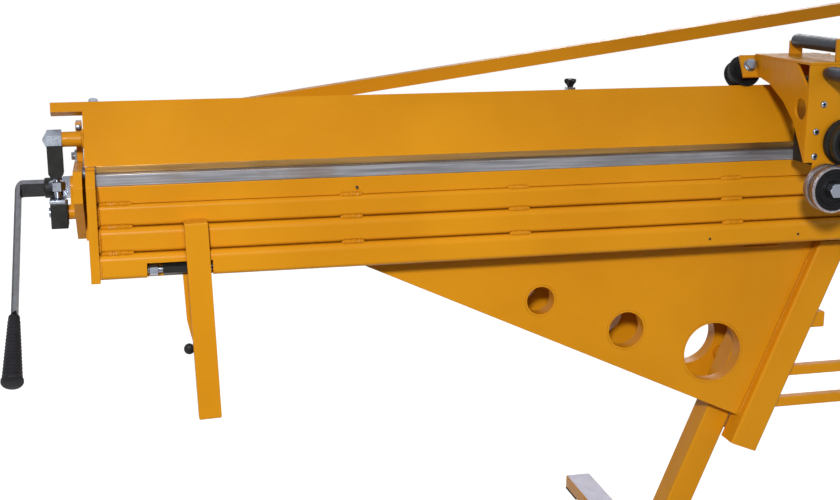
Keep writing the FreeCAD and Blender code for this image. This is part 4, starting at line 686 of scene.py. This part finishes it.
def make_wheels():
    """Guide wheels: two flanges that straddle the top bar, a tread between, sunk webs."""
    for word in ("left", "right"):
        joint = JOINTS[f"{word}_wheel_spin"]
        node = f"guide_wheel_{word}"
        centre, axis = Vector(joint["pos_m"]), Vector(joint["axis"]).normalized()
        low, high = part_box(node)
        flange, half, bore = (high.x - low.x) / 2, 13 * MM, 5.3 * MM
        tread, inner = flange - 3.5 * MM, 9.5 * MM
        one_side = [(bore, half), (bore + 6 * MM, half), (bore + 7 * MM, half - 2.5 * MM),
                    (tread - 8 * MM, half - 2.5 * MM), (tread - 7 * MM, half),
                    (flange - 1.0 * MM, half), (flange, half - 0.9 * MM),
                    (flange, inner + 0.8 * MM), (flange - 0.6 * MM, inner + 0.2 * MM),
                    (tread + 0.4 * MM, inner), (tread, inner - 0.4 * MM)]
        profile = [(reach, -along) for reach, along in one_side] + one_side[::-1]
        wheel = bmesh.new()
        place = Matrix.Translation(centre) @ facing(axis)
        rings = [circle(reach, along, 72) for reach, along in profile]
        skin(wheel, rings + [circle(bore, -half, 72)], place, False)
        bmesh.ops.remove_doubles(wheel, verts=wheel.verts, dist=0.001 * MM)
        finish_piece(f"moulded_wheel_{word}", wheel, node)


# Fasteners
def make_screws():
    """Button-head screws with a hexagon socket in the carriage's front plate."""
    screws = bmesh.new()
    count = 36
    for low, high in solids("carriage_screws"):
        # The heads are a little wider than their plain solids.
        radius, tall = 0.56 * (high.x - low.x), high.y - low.y
        socket = 0.44 * radius
        place = Matrix.Translation(rear_middle(low, high)) @ facing(-Y_AXIS)
        rings = [circle(reach * radius, along * tall, count) for reach, along in
                 ((0.97, 0), (1.0, 0.08), (1.0, 0.3), (0.94, 0.58), (0.8, 0.84), (0.62, 0.97),
                  (0.52, 1.0))]
        for along in (1.0, 0.98, 0.2):
            ring = []
            for i in range(count):
                angle = 2 * math.pi * i / count
                reach = hexagon_reach(socket, angle)
                ring.append((reach * math.cos(angle), reach * math.sin(angle), along * tall))
            rings.append(ring)
        faces = skin(screws, rings, place)
        # The socket's faces take black paint as painted shade in the recess.
        for face in faces[-count - 1:]:
            face.material_index = 1
    finish_piece("button_screws", screws, "carriage_screws",
                 materials=["zinc_plate", "black_paint"])


def make_link_hardware():
    """Big nut with a six-sided point, rod, rod nut and plate washer of each lifting link."""
    links = bmesh.new()
    wide, big_nut, rod, rod_nut = 20 * MM, 25 * MM, 30 * MM, 12 * MM
    for low, high in solids("link_hardware"):
        size = high - low
        centre = (low + high) / 2
        foot = Vector((centre.x, centre.y, low.z))
        start, outward = outward_start(low, high)
        if size.x > wide and size.z > big_nut:
            hexagon_nut(links, start, outward, size.y, size.x, False)
        elif size.z > rod:
            threaded(links, foot, Z_AXIS, size.x / 2, size.z, ROD_PITCH)
        elif size.x > wide and size.z > rod_nut:
            hexagon_nut(links, foot, Z_AXIS, size.y, size.z)
        elif size.x > wide:
            block = bmesh.ops.create_cube(links, size=1.0)["verts"]
            bmesh.ops.scale(links, vec=size, verts=block)
            bmesh.ops.translate(links, vec=centre, verts=block)
            rim = [edge for edge in links.edges if edge.verts[0] in block]
            bmesh.ops.bevel(links, geom=rim, offset=0.9 * MM, segments=3, profile=0.5,
                            affect="EDGES")
        else:
            point = [(13.5 * MM, 0), (13 * MM, 1.2 * MM), (1.5 * MM, size.x)]
            turned(links, point, start, outward, 6)
    finish_piece("link_fasteners", links, "link_hardware")


def make_link_bodies():
    """Black blocks under the big nuts, with their lower corners cut off."""
    blocks = bmesh.new()
    across, rise, edge = 5 * MM, 8 * MM, 1 * MM
    for low, high in solids("link_bodies"):
        outline = [(low.x, high.z), (low.x, low.z + rise), (low.x + across, low.z),
                   (high.x - across, low.z), (high.x, low.z + rise), (high.x, high.z)]
        middle_x, middle_z = (low.x + high.x) / 2, (low.z + high.z) / 2
        rings = []
        for y, inset in ((high.y, edge), (high.y - edge, 0), (low.y + edge, 0), (low.y, edge)):
            ring = []
            for x, z in outline:
                x += math.copysign(inset, middle_x - x)
                z += math.copysign(inset, middle_z - z) if z < high.z else 0
                ring.append((x, y, z))
            rings.append(ring)
        skin(blocks, rings, Matrix())
    finish_piece("chamfered_link_bodies", blocks, "link_bodies", smooth=False)


def make_shaft_nuts():
    """Bright hexagon nuts on the crank shaft, and the black lever hubs outside them."""
    nuts = bmesh.new()
    low, high = solids("crank_shaft")[0]
    nut_from, nut_flats, nut_long = 1653 * MM, 34 * MM, 14 * MM
    hub_radius, hub_long = 18 * MM, 30 * MM
    hub = [(hub_radius - 1 * MM, 0), (hub_radius, 1 * MM), (hub_radius, hub_long - 1.6 * MM),
           (hub_radius - 1.6 * MM, hub_long), (hub_radius / 2, hub_long)]
    for side in (LEFT, RIGHT):
        start = Vector((side * nut_from, (low.y + high.y) / 2, (low.z + high.z) / 2))
        hexagon_nut(nuts, start, X_AXIS * side, nut_flats, nut_long, False)
        turned(nuts, hub, start + X_AXIS * side * nut_long, X_AXIS * side, finish=1)
    finish_piece("shaft_nuts_and_hubs", nuts, "shaft_nuts",
                 materials=["zinc_plate", "black_paint"])


def make_bar_studs():
    """A bolt head near each end of the clamping beam's top bar."""
    studs = bmesh.new()
    flats, tall = 14 * MM, 8 * MM
    # Square to the bar's upper face, which leans 30 degrees
    way = Vector((0, 0.5, math.sqrt(0.75)))
    for side in (LEFT, RIGHT):
        hexagon_nut(studs, at(side * 1606, -13.4, 1011.4), way, flats, tall)
    finish_piece("bar_end_bolts", studs, "knob_posts", replace=False)


def make_frame_bolts():
    """Heads on the base's end plates and legs."""
    bolts = bmesh.new()
    leg_bolt = 20 * MM
    for low, high in solids("frame_bolts"):
        size = high - low
        centre = (low + high) / 2
        if size.x > leg_bolt:
            hexagon_nut(bolts, (centre.x, low.y, centre.z), Y_AXIS, size.z, size.y)
            continue
        if size.x < size.y:
            start, axis = outward_start(low, high)
            tall, radius = size.x, size.y / 2
        else:
            start, axis = Vector((centre.x, high.y, centre.z)), -Y_AXIS
            tall, radius = size.y, size.x / 2
        washer, flats = 0.12 * tall, 1.73 * radius
        turned(bolts, [(radius, 0), (radius, washer)], start, axis, 36)
        hexagon_nut(bolts, start + axis * washer, axis, flats, 0.86 * tall, axis != -Y_AXIS)
    finish_piece("frame_bolt_heads", bolts, "frame_bolts")


def make_tension_rods():
    """Threaded rods under the apron with a lock nut and a long blackened coupling nut."""
    rods = bmesh.new()
    least_nut, coupling = 15 * MM, 30 * MM
    for low, high in solids("tension_rods"):
        size = high - low
        start, outward = outward_start(low, high)
        if size.y < least_nut:
            threaded(rods, start, outward, size.y / 2, size.x, ROD_PITCH)
        else:
            hexagon_nut(rods, start, outward, size.y, size.x, False,
                        finish=1 if size.x > coupling else 0)
    finish_piece("tension_screws", rods, "tension_rods",
                 materials=["zinc_plate", "black_paint"])


# Weld beads, placed in millimetres
def weld_apron():
    """Stitches in the seams between the apron's bars, and seams at their ends and handles."""
    apron = bmesh.new()
    seams = ((-100.5, 849.0, 4.4), (-107.0, 810.2, 5.0), (-117.0, 766.8, 5.0))
    stitches = ((1606, 1550), (1191, 1150), (881, 840), (461, 417))
    for y, z, size in seams:
        for outer, inner in stitches:
            for side in (LEFT, RIGHT):
                bead(apron, [at(side * outer, y, z), at(side * inner, y, z)], size * MM)
    bar_end, end_size = 1607, 3.6 * MM
    steps = ((-99.5, 878, 851), (-107.5, 846, 812), (-117.5, 807, 769), (-125.0, 758, 724))
    for y, top, low in steps:
        for side in (LEFT, RIGHT):
            bead(apron, [at(side * bar_end, y, top), at(side * bar_end, y, low)], end_size)
    handle, handle_front, handle_size = 1443.5, -111, 2.6 * MM
    for side in (LEFT, RIGHT):
        bead(apron, [at(side * handle - 21, handle_front, 800),
                     at(side * handle - 21.5, handle_front, 770)], handle_size)
    finish_piece("apron_weld_beads", apron, "apron_plate_b", replace=False)


def weld_base():
    """Seams that hold the gussets and the columns under the base beam."""
    base = bmesh.new()
    seam, run = 1.5, 2.8
    for side in (LEFT, RIGHT):
        bead(base, [at(side * 1090, -58, 709), at(side * 395, -58, 709)], 3.2 * MM,
             ripple=3.4 * MM)
        bead(base, [at(side * 392, -76, 706.5), at(side * 318, -76, 706.5)], 2.6 * MM)
        # Down each column's outer edge: a thin seam with three thicker runs
        top = Vector((side * 225.4, -58, 708)) * MM
        fall = Vector((side * 146.5, 0, -357)) * MM
        for start, end, size in ((0, 1, seam), (0.1, 0.18, run), (0.38, 0.52, run),
                                 (0.85, 0.99, run)):
            bead(base, [top + fall * start, top + fall * end], size * MM)
    finish_piece("base_weld_beads", base, "base_beam", replace=False)


def weld_clamp():
    """A seam round each lifting arm where it leaves the clamping beam."""
    clamp = bmesh.new()
    radius, count = 14.6, 24
    for side in (LEFT, RIGHT):
        bead(clamp, [at(side * 1626, -41 + radius * math.cos(a), 954.8 + radius * math.sin(a))
                     for a in (2 * math.pi * i / count for i in range(count + 1))], 2.2 * MM)
    finish_piece("clamp_weld_beads", clamp, "clamp_arms", replace=False)


def make_hole_shade_discs():
    """Small dark discs sunk a little into the front of the apron's bars: painted shade of small pits in them."""
    hole_shade_discs = bmesh.new()
    dish = [(2.6 * MM, 0), (2.4 * MM, 0.3 * MM), (1.6 * MM, 0.3 * MM), (1.2 * MM, 0.1 * MM)]
    for place in ((-488.5, -127, 739.2), (-305.6, -127, 739.7), (-1160.6, -107, 863.1)):
        turned(hole_shade_discs, dish, Vector(place) * MM, -Y_AXIS, 20)
    finish_piece("apron_hole_shade_discs", hole_shade_discs, "handle_knobs", replace=False)


# Floor and light
def seen_rays(tree):
    """1 for rays from the camera and for mirrored and refracted ones, 0 for plain light."""
    ray = tree.nodes.new("ShaderNodeLightPath")
    seen = ray.outputs["Is Camera Ray"]
    for kind in ("Is Glossy Ray", "Is Transmission Ray"):
        either = tree.nodes.new("ShaderNodeMath")
        either.operation = "MAXIMUM"
        tree.links.new(seen, either.inputs[0])
        tree.links.new(ray.outputs[kind], either.inputs[1])
        seen = either.outputs[0]
    return seen, ray.outputs["Is Camera Ray"]


def make_stage():
    """A pale floor that looks white, keeps the shadow and throws little light back."""
    net = Net("pale_floor")
    seen, _ = seen_rays(net.tree)
    net.set("Base Color", net.mix(seen, (0.32, 0.32, 0.32), (0.60, 0.60, 0.61)))
    net.set("Roughness", 0.9)
    net.set("Specular IOR Level", 0.0)
    net.set("Emission Color", (1.0, 1.0, 1.0, 1.0))
    net.set("Emission Strength", net.maths("MULTIPLY", seen, 0.87))
    mesh = bpy.data.meshes.new("floor")
    grid = bmesh.new()
    bmesh.ops.create_grid(grid, x_segments=1, y_segments=1, size=60.0)
    grid.to_mesh(mesh)
    grid.free()
    mesh.materials.append(net.material)
    floor = bpy.data.objects.new("floor", mesh)
    bpy.context.scene.collection.objects.link(floor)


def make_world():
    """White where it is seen, faintly blue where it is mirrored, and dim as a light."""
    world = bpy.data.worlds.new("studio")
    bpy.context.scene.world = world
    world.use_nodes = True
    tree = world.node_tree
    back = tree.nodes["Background"]
    seen, from_camera = seen_rays(tree)
    strength = tree.nodes.new("ShaderNodeMapRange")
    strength.inputs["To Min"].default_value = 0.24
    strength.inputs["To Max"].default_value = 1.0
    tree.links.new(seen, strength.inputs["Value"])
    tree.links.new(strength.outputs["Result"], back.inputs["Strength"])
    tint = tree.nodes.new("ShaderNodeMix")
    tint.data_type = "RGBA"
    tint.inputs[MIX_FIRST].default_value = (0.92, 0.95, 1.0, 1.0)
    tint.inputs[MIX_SECOND].default_value = (1.0, 1.0, 1.0, 1.0)
    tree.links.new(from_camera, tint.inputs[MIX_FACTOR])
    tree.links.new(tint.outputs[MIX_RESULT], back.inputs["Color"])


def make_lamps():
    """A key spot from the left, and soft lamps from the right and from behind."""
    # The key's flat, wide cone is aimed low, so that it fades towards the truss.
    key_cone, key_stretch = math.radians(38), (3.2, 1.0, 1.0)
    for name, kind, place, aim, size, watts in (
            ("key_lamp", "SPOT", (-2.0, -3.3, 2.3), (-1.05, 0.0, 0.25), 0.2, 440.0),
            ("fill_softbox", "AREA", (2.6, -3.2, 2.6), (-0.2, 0.0, 0.8), 2.2, 16.0),
            ("rear_softbox", "AREA", (1.2, 4.5, 2.8), (0.0, 0.0, 0.8), 2.4, 40.0)):
        lamp = bpy.data.lights.new(name, kind)
        lamp.energy = watts
        holder = bpy.data.objects.new(name, lamp)
        holder.location = place
        holder.rotation_euler = (Vector(aim) - Vector(place)).to_track_quat("-Z", "Y").to_euler()
        if kind == "SPOT":
            lamp.shadow_soft_size, lamp.spot_blend = size, 1.0
            lamp.spot_size = key_cone
            holder.scale = key_stretch
        else:
            lamp.shape, lamp.size = "DISK", size
        bpy.context.scene.collection.objects.link(holder)


make_camera()
FINISH = make_materials()
dress_nodes()
make_lever_grips()
make_star_knobs()
make_handle_knobs()
make_carriage_grips()
make_cutters()
make_wheels()
make_screws()
make_link_hardware()
make_link_bodies()
make_shaft_nuts()
make_bar_studs()
make_frame_bolts()
make_tension_rods()
weld_apron()
weld_base()
weld_clamp()
make_hole_shade_discs()
make_stage()
make_world()
make_lamps()
bpy.context.scene.view_settings.view_transform = "Standard"
